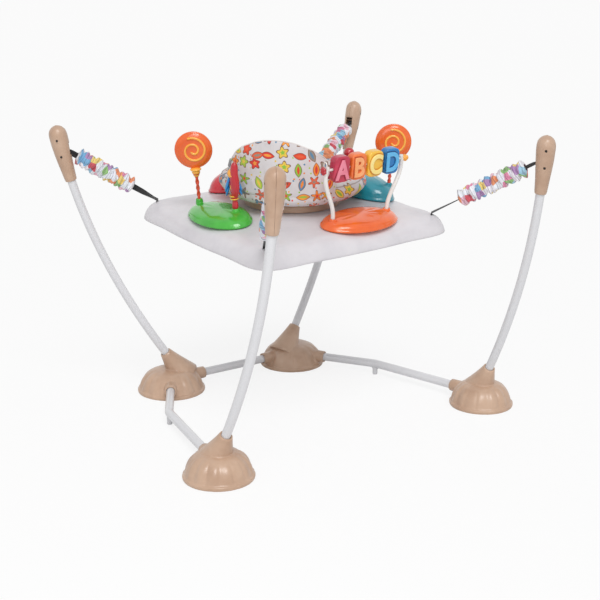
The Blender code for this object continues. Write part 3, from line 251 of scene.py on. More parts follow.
def makeWebbing():
    # black polyester webbing: a fine herringbone weave, ribs 1.4 mm apart so that they show
    material, tree, shader = startMaterial("black polyester webbing", Roughness=0.82, Sheen_Weight=0.25)
    place = addNode(tree, "ShaderNodeTexCoord")
    ribs = addNode(
        tree, "ShaderNodeTexWave", {"Vector": place.outputs["Object"], "Scale": 110, "Distortion": 1.2, "Detail": 1},
        bands_direction="DIAGONAL",
    )
    tone = rampColour(tree, ribs.outputs["Fac"], [(0.2, "0C0C0D"), (0.9, "242427")])
    bump = addNode(tree, "ShaderNodeBump", {"Height": ribs.outputs["Fac"], "Strength": 0.5, "Distance": 0.0006})
    tree.links.new(tone, shader.inputs["Base Color"])
    tree.links.new(bump.outputs["Normal"], shader.inputs["Normal"])
    return material


def makeSpringSteel():
    # drawn spring steel with a light oil film
    material, tree, shader = startMaterial("drawn spring steel", Metallic=1.0, Roughness=0.32)
    place = addNode(tree, "ShaderNodeTexCoord")
    streak = addNode(tree, "ShaderNodeTexNoise", {"Vector": place.outputs["Object"], "Scale": 260, "Detail": 2})
    tone = rampColour(tree, streak.outputs["Fac"], [(0.3, "9A9DA1"), (0.7, "C4C6C9")])
    tree.links.new(tone, shader.inputs["Base Color"])
    return material


tanPlastic = makeMouldedPlastic("tan moulded plastic", "C7A890", "B6957D", 0.33, grainDepth=0.03, coat=0.15)
trayPlastic = makeMouldedPlastic(
    "pale grey moulded tray plastic", "DCD9DD", "D2CFD4", 0.30, grain=0.0012, grainDepth=0.03
)
greenPlastic = makeMouldedPlastic("green gloss plastic", "48B83B", "35A32C", 0.18, coat=0.4)
orangePlastic = makeMouldedPlastic("orange gloss plastic", "F06C22", "E35A18", 0.18, coat=0.4)
crimsonPlastic = makeMouldedPlastic("crimson gloss plastic", "CC2231", "B01725", 0.2, coat=0.4)
tealPlastic = makeMouldedPlastic("teal gloss plastic", "1F92A4", "157D8E", 0.2, coat=0.4)
yellowPlastic = makeMouldedPlastic("yellow gloss plastic", "F6C548", "EBB333", 0.22, coat=0.3)
amberPlastic = makeMouldedPlastic("amber gloss plastic", "FDB64A", "F5A435", 0.22, coat=0.3)
bluePlastic = makeMouldedPlastic("blue gloss plastic", "1F86CC", "166FB2", 0.22, coat=0.3)
rosePlastic = makeMouldedPlastic("rose gloss plastic", "CC3654", "B32342", 0.22, coat=0.3)
apricotPlastic = makeMouldedPlastic("apricot gloss plastic", "F27B38", "E2642A", 0.22, coat=0.3)
stemPlastic = makeMouldedPlastic("orange-red gloss plastic", "E2532F", "CF3F22", 0.22, coat=0.3)
creamPlastic = makeMouldedPlastic("translucent cream plastic", "EFECE8", "E2DEDA", 0.24, coat=0.3)
blackPlastic = makeMouldedPlastic("black moulded plastic", "1B1B1C", "131314", 0.45)
tubePaint = makeTubePaint()
webbing = makeWebbing()
springSteel = makeSpringSteel()

finishes = {
    "foot": tanPlastic, "cap": tanPlastic, "post": tubePaint, "base_tube": tubePaint,
    "upper_strap": webbing, "lower_strap": webbing, "strap_buckle": blackPlastic, "spring": springSteel,
    "tray": trayPlastic, "seat_ring": tanPlastic, "toy_base_green": greenPlastic,
    "toy_base_orange": orangePlastic, "toy_base_teal": tealPlastic, "toy_base_crimson": crimsonPlastic,
    "lollipop_disc": orangePlastic, "lollipop_stem": stemPlastic, "arch_post": creamPlastic,
    "letter_rod": creamPlastic, "letter_tile_a": rosePlastic, "letter_tile_b": apricotPlastic,
    "letter_tile_c": yellowPlastic, "letter_tile_d": bluePlastic, "bird": crimsonPlastic,
    "ball": crimsonPlastic,
}
for nodeName, node in nodes.items():
    for start, material in finishes.items():
        if nodeName.startswith(start):
            node.data.materials.clear()
            node.data.materials.append(material)
print("materials are on the carried pieces")


def copyNode(nodeName, name, shrink=0.0):
    # a merged copy of a carried node's mesh
    bm = bmesh.new()
    bm.from_mesh(nodes[nodeName].data)
    bmesh.ops.remove_doubles(bm, verts=bm.verts, dist=0.00005)
    bmesh.ops.recalc_face_normals(bm, faces=bm.faces)
    bm.normal_update()
    for vert in bm.verts:
        vert.co -= vert.normal * shrink
    mesh = bpy.data.meshes.new(name)
    bm.to_mesh(mesh)
    bm.free()
    piece = bpy.data.objects.new(name, mesh)
    scene.collection.objects.link(piece)
    return piece


def bakeModifiers(piece):
    # turns the piece's modifiers into its mesh
    bpy.context.view_layer.update()
    graph = bpy.context.evaluated_depsgraph_get()
    mesh = bpy.data.meshes.new_from_object(piece.evaluated_get(graph))
    old = piece.data
    piece.modifiers.clear()
    piece.data = mesh
    bpy.data.meshes.remove(old)


# Moulded parts and tubes: the same shapes as carried, with round surfaces finely curved and edges kept

skin = {
    "edgeAngle": math.radians(40),
    "edgeHold": 0.9,
    "levels": 2,
    "coarse": ("tray", "seat_ring"),  # these have long flat faces and need one level less
}
bodyOf = {name: body for body, names in frame["record"]["behaviour"]["bodies"].items() for name in names}
flutes = {"lobes": 15, "depth": 0.0040, "low": 0.006, "high": 0.066}


def fluteFoot(piece):
    # soft lobes with narrow grooves between, deepest half way up the bell
    rim = [v.co for v in piece.data.vertices if v.co.z < 0.004]
    middle = Vector((
        (min(c.x for c in rim) + max(c.x for c in rim)) / 2, (min(c.y for c in rim) + max(c.y for c in rim)) / 2, 0
    ))
    reach = max(math.hypot(c.x - middle.x, c.y - middle.y) for c in rim)
    for vert in piece.data.vertices:
        away = Vector((vert.co.x - middle.x, vert.co.y - middle.y, 0))
        if away.length < 0.02 or away.length > reach * 1.02 or not flutes["low"] < vert.co.z < flutes["high"]:
            continue
        rise = (vert.co.z - flutes["low"]) / (flutes["high"] - flutes["low"])
        lobe = abs(math.sin(math.atan2(away.y, away.x) * flutes["lobes"] / 2)) ** 0.55
        vert.co -= away.normalized() * flutes["depth"] * (1 - lobe) * math.sin(math.pi * rise) ** 0.6


def refineNode(nodeName, material):
    piece = copyNode(nodeName, f"{nodeName}_skin")
    bm = bmesh.new()
    bm.from_mesh(piece.data)
    bmesh.ops.dissolve_limit(
        bm, angle_limit=math.radians(0.6), verts=bm.verts, edges=bm.edges, use_dissolve_boundaries=False
    )
    bmesh.ops.triangulate(bm, faces=[f for f in bm.faces if len(f.verts) > 4])
    bmesh.ops.join_triangles(
        bm, faces=[f for f in bm.faces if len(f.verts) == 3], angle_face_threshold=math.radians(25),
        angle_shape_threshold=math.radians(60),
    )
    hold = bm.edges.layers.float.new("crease_edge")
    for edge in bm.edges:
        if len(edge.link_faces) == 2 and edge.calc_face_angle(0) > skin["edgeAngle"]:
            edge[hold] = skin["edgeHold"]
    bm.to_mesh(piece.data)
    bm.free()
    curve = piece.modifiers.new("curve", "SUBSURF")
    curve.levels = curve.render_levels = skin["levels"] - (nodeName in skin["coarse"])
    bakeModifiers(piece)
    if nodeName.startswith("foot"):
        fluteFoot(piece)
    coverMesh(piece.data, material)
    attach(piece, bodyOf[nodeName])
    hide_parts(nodeName)
    return piece


for nodeName in list(nodes):
    if nodeName.startswith(("upper_strap", "lower_strap", "spring", "sleeve", "seat_pad", "seat_bucket")):
        continue
    refineNode(nodeName, nodes[nodeName].data.materials[0])
print("moulded parts are finely curved")


def makeNurseryPrint(name, ground, palette, cell=0.036, roughness=0.88):
    # printed cotton over foam: leaves, blossoms, stars and dots about 2 cm across on an off-white plain weave
    material, tree, shader = startMaterial(name, Roughness=roughness, Sheen_Weight=0.2, Sheen_Roughness=0.5)
    place = addNode(tree, "ShaderNodeTexCoord").outputs["UV"]
    cells = addNode(
        tree, "ShaderNodeTexVoronoi", {"Vector": place, "Scale": 1 / cell, "Randomness": 0.5},
        voronoi_dimensions="2D", feature="F1",
    )
    away = addNode(tree, "ShaderNodeVectorMath", {0: place, 1: cells.outputs["Position"]}, operation="SUBTRACT")
    away = addNode(tree, "ShaderNodeVectorMath", {0: away.outputs[0], "Scale": 1 / cell}, operation="SCALE")
    chance = addNode(tree, "ShaderNodeSeparateColor", {"Color": cells.outputs["Color"]})
    spin = calculate(tree, "MULTIPLY", chance.outputs["Red"], 6.283)
    turned = addNode(
        tree, "ShaderNodeVectorRotate", {"Vector": away.outputs[0], "Angle": spin}, rotation_type="Z_AXIS"
    )
    reach = addNode(tree, "ShaderNodeVectorMath", {0: turned.outputs[0]}, operation="LENGTH").outputs["Value"]
    parts = addNode(tree, "ShaderNodeSeparateXYZ", {"Vector": turned.outputs[0]})
    x, y = parts.outputs["X"], parts.outputs["Y"]
    bearing = calculate(tree, "ARCTAN2", y, x)
    # blossom: five round petals
    petals = calculate(tree, "COSINE", calculate(tree, "MULTIPLY", bearing, 5.0))
    blossom = calculate(tree, "DIVIDE", reach, calculate(tree, "MULTIPLY_ADD", petals, 0.09, 0.37))
    # star: five points
    points = calculate(tree, "COSINE", calculate(tree, "MULTIPLY", bearing, 2.5))
    points = calculate(tree, "POWER", calculate(tree, "ABSOLUTE", points), 3.0)
    star = calculate(tree, "DIVIDE", reach, calculate(tree, "MULTIPLY_ADD", points, 0.26, 0.20))
    # leaf: two arcs that meet at its tips
    wide = calculate(tree, "DIVIDE", calculate(tree, "ABSOLUTE", y), 0.25)
    along = calculate(tree, "POWER", calculate(tree, "DIVIDE", x, 0.52), 2.0)
    picked = calculate(tree, "ADD", wide, along)
    for limit, shape in ((0.36, star), (0.60, blossom)):
        gate = calculate(tree, "GREATER_THAN", chance.outputs["Green"], limit)
        picked = addNode(
            tree, "ShaderNodeMix", {"Factor": gate, "A": picked, "B": shape}, data_type="FLOAT"
        ).outputs[0]
    inside = addNode(
        tree, "ShaderNodeMapRange", {"Value": picked, "From Min": 1.04, "From Max": 0.97, "To Min": 0, "To Max": 1}
    ).outputs[0]
    outline = calculate(tree, "GREATER_THAN", picked, 0.84)
    heart = calculate(tree, "LESS_THAN", picked, 0.36)
    steps = [(i / len(palette), colour) for i, colour in enumerate(palette)]
    ink = rampColour(tree, chance.outputs["Blue"], steps, "CONSTANT")
    turnedSteps = [(i / len(palette), palette[(i + 3) % len(palette)]) for i in range(len(palette))]
    second = rampColour(tree, chance.outputs["Blue"], turnedSteps, "CONSTANT")
    motif = mixColours(tree, outline, mixColours(tree, heart, ink, second), toLinear("7A4A33"))
    # small sprigs between the motifs
    sprigs = addNode(
        tree, "ShaderNodeTexVoronoi", {"Vector": place, "Scale": 2.6 / cell, "Randomness": 0.9},
        voronoi_dimensions="2D", feature="F1",
    )
    near = calculate(tree, "LESS_THAN", sprigs.outputs["Distance"], 0.17)
    lot = addNode(tree, "ShaderNodeSeparateColor", {"Color": sprigs.outputs["Color"]})
    some = calculate(tree, "GREATER_THAN", lot.outputs["Red"], 0.52)
    clear = calculate(tree, "GREATER_THAN", picked, 1.3)
    sprig = calculate(tree, "MULTIPLY", calculate(tree, "MULTIPLY", near, some), clear)
    sprigInk = rampColour(tree, lot.outputs["Green"], steps, "CONSTANT")
    # plain weave, threads 1.1 mm apart so that they show
    weave = addNode(
        tree, "ShaderNodeTexChecker",
        {"Vector": place, "Scale": 900, "Color1": toLinear(ground), "Color2": toLinear("CFCACC")},
    )
    # painted shade and light: one noise lifts the foam's puff bump and scales the cloth colour with it, darker in the
    # dips and lighter on the tops
    puffAndPaintedShade = addNode(tree, "ShaderNodeTexNoise", {"Vector": place, "Scale": 26, "Detail": 3})
    cloth = mixColours(tree, 0.25, toLinear(ground), weave.outputs["Color"])
    cloth = mixColours(tree, inside, mixColours(tree, sprig, cloth, sprigInk), motif)
    shade = addNode(tree, "ShaderNodeMapRange", {"Value": puffAndPaintedShade.outputs["Fac"], "To Min": 0.9, "To Max": 1.04})
    shade = addNode(tree, "ShaderNodeVectorMath", {0: cloth, "Scale": shade.outputs[0]}, operation="SCALE")
    bump = addNode(tree, "ShaderNodeBump", {"Height": weave.outputs["Fac"], "Strength": 0.2, "Distance": 0.0004})
    puff = addNode(
        tree, "ShaderNodeBump",
        {"Height": puffAndPaintedShade.outputs["Fac"], "Strength": 0.35, "Distance": 0.004, "Normal": bump.outputs["Normal"]},
    )
    tree.links.new(shade.outputs[0], shader.inputs["Base Color"])
    tree.links.new(puff.outputs["Normal"], shader.inputs["Normal"])
    return material


def makeSleeveCotton():
    # thin printed cotton, bunched: patches of many colours, 2 cm across, with fine dark stripes and pale gaps
    material, tree, shader = startMaterial("gathered printed cotton", Roughness=0.82, Sheen_Weight=0.25)
    place = addNode(tree, "ShaderNodeTexCoord").outputs["UV"]
    warp = addNode(tree, "ShaderNodeTexNoise", {"Vector": place, "Scale": 45, "Detail": 2})
    bent = addNode(
        tree, "ShaderNodeVectorMath", {0: warp.outputs["Color"], 1: (0.014, 0.014, 0), 2: place},
        operation="MULTIPLY_ADD",
    )
    patches = addNode(
        tree, "ShaderNodeTexVoronoi", {"Vector": bent.outputs[0], "Scale": 46, "Randomness": 0.9},
        voronoi_dimensions="2D",
    )
    lot = addNode(tree, "ShaderNodeSeparateColor", {"Color": patches.outputs["Color"]})
    palette = (
        "E08CAA", "EDEAF1", "93BE7A", "E8956A", "E6E8F0", "7BB0D6", "EBD07A", "F1EFF4", "B18AB8", "CE5560",
        "E9EDF3", "A2CCE2", "EDC0CE", "E4E6EC",
    )
    ink = rampColour(
        tree, lot.outputs["Red"], [(i / len(palette), colour) for i, colour in enumerate(palette)], "CONSTANT"
    )
    rows = addNode(
        tree, "ShaderNodeTexWave", {"Vector": bent.outputs[0], "Scale": 21, "Distortion": 4, "Detail": 1},
        bands_direction="Y",
    )
    stripe = rampColour(
        tree, rows.outputs["Fac"],
        [(0.0, "C0C0C0"), (0.06, "909090"), (0.11, "000000"), (0.93, "000000"), (0.98, "6A6A6A")],
    )
    lined = mixColours(tree, stripe, ink, toLinear("4E4A5E"))
    threads = addNode(tree, "ShaderNodeTexNoise", {"Vector": place, "Scale": 420, "Detail": 2})
    bump = addNode(tree, "ShaderNodeBump", {"Height": threads.outputs["Fac"], "Strength": 0.4, "Distance": 0.001})
    tree.links.new(lined, shader.inputs["Base Color"])
    tree.links.new(bump.outputs["Normal"], shader.inputs["Normal"])
    return material


printInks = ("E2492E", "A9C94B", "F08A33", "E8613C", "E9C54E", "D93A34", "9A8C7E", "8FBF45", "F29B3F", "5E88A8")
seatPrint = makeNurseryPrint("printed seat cotton", "D8D3D4", printInks)
# the sling's print has the same inks with its ground a step darker than the seat's: painted shade for the inside of
# the seat
slingPrint = makeNurseryPrint("printed sling cotton", "CCC7CA", printInks, cell=0.038)
sleeveCotton = makeSleeveCotton()
pipingCotton = makeMouldedPlastic("off-white piping cotton", "E6E0DE", "CFC6C2", 0.85, grain=0.0016, grainDepth=0.3)


# Seat: padded rim with an arched back, printed cotton over foam

seat = {
    "centre": (0.0, 0.07126, 0.56),
    "xAxis": (0.99924, 0.0, 0.03899),
    "yAxis": (-0.00242, 0.99808, 0.06191),
    "zAxis": (-0.03892, -0.06196, 0.99732),
    "backHeading": math.radians(215),
    "backMiddle": math.radians(220),
    "backWrap": math.radians(55),
    "backRise": 0.124,
    "backThickness": 0.013,
    "bolsterTop": 0.106,
    "voxel": 0.0045,
    "pressure": 4.0,
    "mostSwell": 0.006,
    "padFrames": 20,
}
seatAxes = [Vector(seat[k]) for k in ("xAxis", "yAxis", "zAxis")]


def seatSpot(heading, radius, height):
    x, y, z = seatAxes
    return Vector(seat["centre"]) + radius * (math.cos(heading) * x + math.sin(heading) * y) + height * z


def seatPolar(point):
    away = point - Vector(seat["centre"])
    x, y, z = (away.dot(a) for a in seatAxes)
    return math.atan2(y, x), math.hypot(x, y), z


def padOut(piece, voxel, pressure, mostSwell):
    # the foam swells inside its cover: an even mesh, cloth under pressure, and a cap on how far it moves
    remesh = piece.modifiers.new("even", "REMESH")
    remesh.mode = "VOXEL"
    remesh.voxel_size = voxel
    bakeModifiers(piece)
    start = [v.co.copy() for v in piece.data.vertices]
    cloth = piece.modifiers.new("cover", "CLOTH")
    cloth.settings.quality = 4
    cloth.settings.use_pressure = True
    cloth.settings.uniform_pressure_force = pressure
    cloth.settings.tension_stiffness = 12
    cloth.settings.compression_stiffness = 12
    cloth.settings.bending_stiffness = 0.6
    cloth.settings.effector_weights.gravity = 0
    cloth.collision_settings.use_collision = False
    cloth.point_cache.frame_start = 1
    cloth.point_cache.frame_end = seat["padFrames"]
    for number in range(1, seat["padFrames"] + 1):
        scene.frame_set(number)
    bakeModifiers(piece)
    scene.frame_set(1)
    for vert, rest in zip(piece.data.vertices, start):
        move = vert.co - rest
        if move.length > mostSwell:
            vert.co = rest + move * (mostSwell / move.length)


def mapSeatCloth(mesh):
    # the print runs round the seat: outside and inside by height, the top by its width
    layer = mesh.uv_layers.new(name="clothLay")
    for face in mesh.polygons:
        heading, radius, height = seatPolar(face.center)
        outward = seatSpot(heading, 1, 0) - Vector(seat["centre"])
        facing = face.normal.dot(outward)
        for corner in face.loop_indices:
            angle, r, h = seatPolar(mesh.vertices[mesh.loops[corner].vertex_index].co)
            turn = (angle - seat["backHeading"] + math.pi) % math.tau - math.pi
            middle = (heading - seat["backHeading"] + math.pi) % math.tau - math.pi
            if abs(turn - middle) > math.pi:
                turn += math.copysign(math.tau, middle)
            if facing > 0.25:
                layer.data[corner].uv = (turn * 0.180, h)
            elif facing < -0.35:
                layer.data[corner].uv = (turn * 0.150 + 1.3, h + 0.5)
            else:
                layer.data[corner].uv = (turn * 0.170 + 0.01, 0.24 - r + 0.19)


def archHeight(turn):
    # the back's top edge, a rounded shield
    share = min(abs(turn) / seat["backWrap"], 1.0)
    return seat["bolsterTop"] + seat["backRise"] * math.sqrt(1 - share ** 2)


def softenCover(piece, gathers):
    # hollows, hem gathers and one subdivision, after the padding
    for vert in piece.data.vertices:
        heading, radius, height = seatPolar(vert.co)
        outward = (seatSpot(heading, 1, 0) - Vector(seat["centre"])).normalized()
        soft = noise.noise(vert.co * 19) * 0.0030 + noise.noise(vert.co * 52) * 0.0011
        if radius > 0.15:
            hem = max(0.0, 1 - abs(height - gathers) / 0.016)
            soft += 0.0012 * hem * math.sin(34 * heading + 2 * noise.noise(vert.co * 9))
        vert.co += outward * soft
    smoothing = piece.modifiers.new("smooth", "SUBSURF")
    smoothing.levels = smoothing.render_levels = 1
    bakeModifiers(piece)
    coverMesh(piece.data, seatPrint)
    mapSeatCloth(piece.data)
    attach(piece, "seat")
    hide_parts("seat_pad")


panel = {
    "share": 0.985,  # of the back's wrap
    "low": 0.072,
    "underArch": 0.006,
    "radius": 0.1635,
    "belly": 0.006,
    "lean": 0.001,
    "hem": 0.104,
}
bm = bmesh.new()
bmesh.ops.create_grid(bm, x_segments=44, y_segments=18, size=1.0)
for vert in bm.verts:
    turn, rise = vert.co.x * seat["backWrap"] * panel["share"], 0.5 + vert.co.y / 2
    height = panel["low"] + (archHeight(turn) - panel["underArch"] - panel["low"]) * rise
    radius = panel["radius"] + panel["belly"] * math.sin(math.pi * min(rise, 0.9)) - panel["lean"] * rise
    vert.co = seatSpot(seat["backMiddle"] + turn, radius, height)
bmesh.ops.recalc_face_normals(bm, faces=bm.faces)
bmesh.ops.solidify(bm, geom=bm.faces, thickness=seat["backThickness"])
bmesh.ops.recalc_face_normals(bm, faces=bm.faces)
seatBack = finishPiece("seatBackPad", bm, seatPrint, None)
padOut(seatBack, seat["voxel"], seat["pressure"], seat["mostSwell"])
softenCover(seatBack, gathers=panel["hem"])

bolster = {
    "ring": 0.155,
    "inner": 0.116,
    "outer": 0.1800,
    "frontGrowth": 0.0185,
    "frontDrop": 0.002,
    "base": 0.0480,
    "frontStart": math.radians(48),
    "frontBlend": math.radians(34),
    "squareness": 2.7,
    "riseFrom": 0.158,
    "riseSlope": 0.58,
    "hem": 0.056,
    "seamRadius": 0.200,
}
bm = bmesh.new()
turnUp = Matrix.Translation((bolster["ring"], 0, 0)) @ Matrix.Rotation(math.pi / 2, 4, "X")
bmesh.ops.create_circle(bm, cap_ends=False, segments=28, radius=0.03, matrix=turnUp)
bmesh.ops.spin(
    bm, geom=bm.verts[:] + bm.edges[:], cent=(0, 0, 0), axis=(0, 0, 1), angle=math.tau, steps=96, use_merge=True
)
bmesh.ops.remove_doubles(bm, verts=bm.verts, dist=0.00005)
for vert in bm.verts:
    heading = math.atan2(vert.co.y, vert.co.x)
    bearing = math.atan2(vert.co.z, math.hypot(vert.co.x, vert.co.y) - bolster["ring"])
    fromBack = abs((heading - seat["backHeading"] + math.pi) % math.tau - math.pi)
    front = min(max((fromBack - bolster["frontStart"]) / bolster["frontBlend"], 0), 1)
    front = front * front * (3 - 2 * front)
    outer = bolster["outer"] + bolster["frontGrowth"] * front
    top = seat["bolsterTop"] - bolster["frontDrop"] - bolster["frontDrop"] * front
    inner, base, power = bolster["inner"], bolster["base"], bolster["squareness"]
    c, s = math.cos(bearing), math.sin(bearing)
    squared = (abs(c) ** power + abs(s) ** power) ** (-1 / power)
    radius = (outer + inner) / 2 + (outer - inner) / 2 * c * squared
    height = (top + base) / 2 + (top - base) / 2 * s * squared
    # the underside rises outwards, clear of the toys as the seat turns
    height = max(height, base + max(0.0, radius - bolster["riseFrom"]) * bolster["riseSlope"])
    vert.co = seatSpot(heading, radius, height)
seatBolster = finishPiece("seatBolster", bm, seatPrint, None)
padOut(seatBolster, seat["voxel"] * 1.15, seat["pressure"], seat["mostSwell"])
softenCover(seatBolster, gathers=bolster["hem"])
print("seat back and bolster are padded")

seatSling = copyNode("seat_bucket", "seatSling", shrink=0.0)
even = seatSling.modifiers.new("even", "REMESH")
even.mode = "VOXEL"
even.voxel_size = 0.0022
bakeModifiers(seatSling)
for vert in seatSling.data.vertices:
    vert.co += Vector((noise.noise(vert.co * 30), noise.noise(vert.co * 30 + Vector((7, 0, 0))), 0)) * 0.0012
coverMesh(seatSling.data, slingPrint)
mapSeatCloth(seatSling.data)
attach(seatSling, "seat")
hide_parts("seat_bucket")


def bakeCurve(name, points, radius, material, body, closed=False, sides=3):
    # a smooth tube along points, made a mesh
    curve = bpy.data.curves.new(name, "CURVE")
    curve.dimensions = "3D"
    curve.bevel_depth = radius
    curve.bevel_resolution = sides
    curve.use_fill_caps = True
    line = curve.splines.new("POLY")
    line.points.add(len(points) - 1)
    for spot, point in zip(points, line.points):
        point.co = (*spot, 1)
    line.use_cyclic_u = closed
    holder = bpy.data.objects.new(name, curve)
    scene.collection.objects.link(holder)
    bpy.context.view_layer.update()
    mesh = bpy.data.meshes.new_from_object(holder.evaluated_get(bpy.context.evaluated_depsgraph_get()))
    bpy.data.objects.remove(holder)
    piece = bpy.data.objects.new(name, mesh)
    scene.collection.objects.link(piece)
    coverMesh(mesh, material)
    if body:
        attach(piece, body)
    return piece


# piping sewn along the arched top and down both ends of the back
backSkin = BVHTree.FromPolygons(
    [v.co.copy() for v in seatBack.data.vertices], [tuple(p.vertices) for p in seatBack.data.polygons]
)
archLine = []
for i in range(81):
    turn = seat["backWrap"] * 0.97 * (2 * i / 80 - 1)
    aim = seatSpot(seat["backMiddle"] + turn, 0.176, archHeight(turn) + 0.004)
    spot, normal, face, away = backSkin.find_nearest(aim)
    archLine.append(spot + normal * 0.0004)
for step in range(2):
    archLine = [archLine[0]] + [
        (archLine[i - 1] + archLine[i] * 2 + archLine[i + 1]) / 4 for i in range(1, len(archLine) - 1)
    ] + [archLine[-1]]
bakeCurve("backPiping", archLine, 0.0019, pipingCotton, "seat")
bolsterSkin = BVHTree.FromPolygons(
    [v.co.copy() for v in seatBolster.data.vertices], [tuple(p.vertices) for p in seatBolster.data.polygons]
)
seamLine = []
for i in range(120):
    aim = seatSpot(math.tau * i / 120, bolster["seamRadius"], seat["bolsterTop"] + 0.004)
    spot, normal, face, away = bolsterSkin.find_nearest(aim)
    seamLine.append(spot + normal * 0.0003)
# the piping along the bolster's top edge is coloured darker than the print: a seam, with painted shade of the crease
# there
shadedSeamCotton = makeMouldedPlastic("shaded seam cotton", "B9AEAC", "9F9492", 0.9, grain=0.0016, grainDepth=0.3)
bakeCurve("bolsterPiping", seamLine, 0.0014, shadedSeamCotton, "seat", closed=True)


# Gathered sleeves round the springs

straps = {
    "front_left": {"top": (-0.3878, -0.4056, 0.6943), "end": (-0.3015, -0.2578, 0.5876), "twist": 15},
    "front_right": {"top": (0.3879, -0.4055, 0.6976), "end": (0.3020, -0.2578, 0.6029), "twist": -30},
    "rear_left": {"top": (-0.4548, 0.4231, 0.6993), "end": (-0.3229, 0.3615, 0.6118), "twist": 78},
    "rear_right": {"top": (0.4544, 0.4231, 0.7026), "end": (0.3215, 0.3615, 0.6271), "twist": -60},
}
sleeve = {
    "rings": 170,
    "sides": 48,
    "meanRadius": 0.0178,
    "foldDepth": 0.0080,
    "folds": 10,
    "lumpDepth": 0.0062,
    "leastRadius": 0.0100,
    "mostRadius": 0.0270,
    "endRadius": 0.0098,
    "endShare": 0.035,  # of the length, drawn in at each end
    "clothThickness": 0.0006,
}
spring = {"coils": 46, "stepsPerCoil": 10, "radius": 0.0072, "wire": 0.0009}
for number, corner in enumerate(corners):
    top, end = Vector(straps[corner]["top"]), Vector(straps[corner]["end"])
    frameTurn = placeAt(top, end - top, (0, 0, 1))
    length = (end - top).length
    bm = bmesh.new()
    made = bmesh.ops.create_circle(bm, cap_ends=False, segments=sleeve["sides"], radius=1.0)
    ring = made["verts"]
    edges = list({e for v in ring for e in v.link_edges})
    rings = [ring]
    for i in range(sleeve["rings"] - 1):
        grown = bmesh.ops.extrude_edge_only(bm, edges=edges)["geom"]
        ring = [g for g in grown if isinstance(g, bmesh.types.BMVert)]
        edges = [g for g in grown if isinstance(g, bmesh.types.BMEdge)]
        bmesh.ops.translate(bm, verts=ring, vec=(0, 0, length / (sleeve["rings"] - 1)))
        edges = [e for e in edges if all(v in ring for v in e.verts)]
        rings.append(ring)
    seed = Vector((number * 3.7, 1.3, 0))
    for i, ring in enumerate(rings):
        share = i / (sleeve["rings"] - 1)
        ends = min(share, 1 - share) / sleeve["endShare"]
        for vert in ring:
            turn = math.atan2(vert.co.y, vert.co.x)
            around = Vector((math.cos(turn), math.sin(turn), 0))
            drift = noise.noise(around * 0.9 + Vector((0, 0, share * 7)) + seed)
            phase = share * sleeve["folds"] * math.pi + 1.5 * drift + 0.35 * math.sin(2 * turn + 9 * share)
            fold = abs(math.sin(phase)) ** 0.75
            lump = noise.noise(around * 1.5 + Vector((0, 0, share * 15)) + seed)
            lump += 0.35 * noise.noise(around * 4 + Vector((0, 0, share * 40)) + seed)
            radius = sleeve["meanRadius"] + sleeve["foldDepth"] * (fold - 0.35) + sleeve["lumpDepth"] * lump
            radius = min(max(radius, sleeve["leastRadius"]), sleeve["mostRadius"])
            if ends < 1:
                radius = sleeve["endRadius"] + (radius - sleeve["endRadius"]) * max(ends, 0) ** 0.6
            lean = 0.003 * noise.noise(around * 1.4 + Vector((5, 0, share * 11)) + seed)
            vert.co = around * radius + Vector((0, 0, share * length + lean * min(ends, 1)))
    lay = bm.loops.layers.uv.new("clothLay")
    for face in bm.faces:
        middle = math.atan2(face.calc_center_median().y, face.calc_center_median().x)
        for loop in face.loops:
            turn = math.atan2(loop.vert.co.y, loop.vert.co.x)
            if abs(turn - middle) > math.pi:
                turn += math.copysign(math.tau, middle)
            loop[lay].uv = (turn / math.tau * 0.13 + number * 0.31, loop.vert.co.z / length * 0.26)
    inner = [v for ring in rings[4:-4] for v in ring]
    for step in range(2):
        bmesh.ops.smooth_vert(bm, verts=inner, factor=0.5, use_axis_x=True, use_axis_y=True, use_axis_z=True)
    bmesh.ops.transform(bm, matrix=frameTurn, verts=bm.verts)
    cover = finishPiece(f"gatheredSleeve_{corner}", bm, sleeveCotton, None)
    thick = cover.modifiers.new("cloth", "SOLIDIFY")
    thick.thickness = sleeve["clothThickness"]
    thick.offset = -1
    bakeModifiers(cover)
    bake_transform(cover)
    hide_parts(f"sleeve_{corner}")
    strapSkin = copyNode(f"upper_strap_{corner}", f"upperStrap_{corner}")
    bm = bmesh.new()
    bm.from_mesh(strapSkin.data)
    bmesh.ops.subdivide_edges(bm, edges=bm.edges, cuts=5, use_grid_fill=True)
    inward = (top - end).normalized()
    reach = max((v.co - top).dot(inward) for v in bm.verts)
    for vert in bm.verts:
        share = min(max((reach - (vert.co - top).dot(inward)) / reach, 0), 1)
        turn = math.radians(straps[corner]["twist"]) * min(share / 0.55, 1) ** 1.5
        vert.co = top + Matrix.Rotation(turn, 3, inward) @ (vert.co - top)
    bm.to_mesh(strapSkin.data)
    bm.free()
    strapSkin.data.materials.clear()
    strapSkin.data.materials.append(webbing)
    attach(strapSkin, "frame")
    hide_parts(f"upper_strap_{corner}")
    coilLine = []
    steps = spring["coils"] * spring["stepsPerCoil"]
    for i in range(steps + 1):
        share = i / steps
        radius = spring["radius"] * (0.5 + 0.5 * min(1, min(share, 1 - share) / 0.04))
        turn = math.tau * share * spring["coils"]
        spot = Vector((radius * math.cos(turn), radius * math.sin(turn), length * (0.01 + 0.98 * share)))
        coilLine.append(frameTurn @ spot)
    coil = bakeCurve(f"springCoil_{corner}", coilLine, spring["wire"], springSteel, None, sides=1)
    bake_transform(coil)
    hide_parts(f"spring_{corner}")
print("sleeves and springs are gathered")
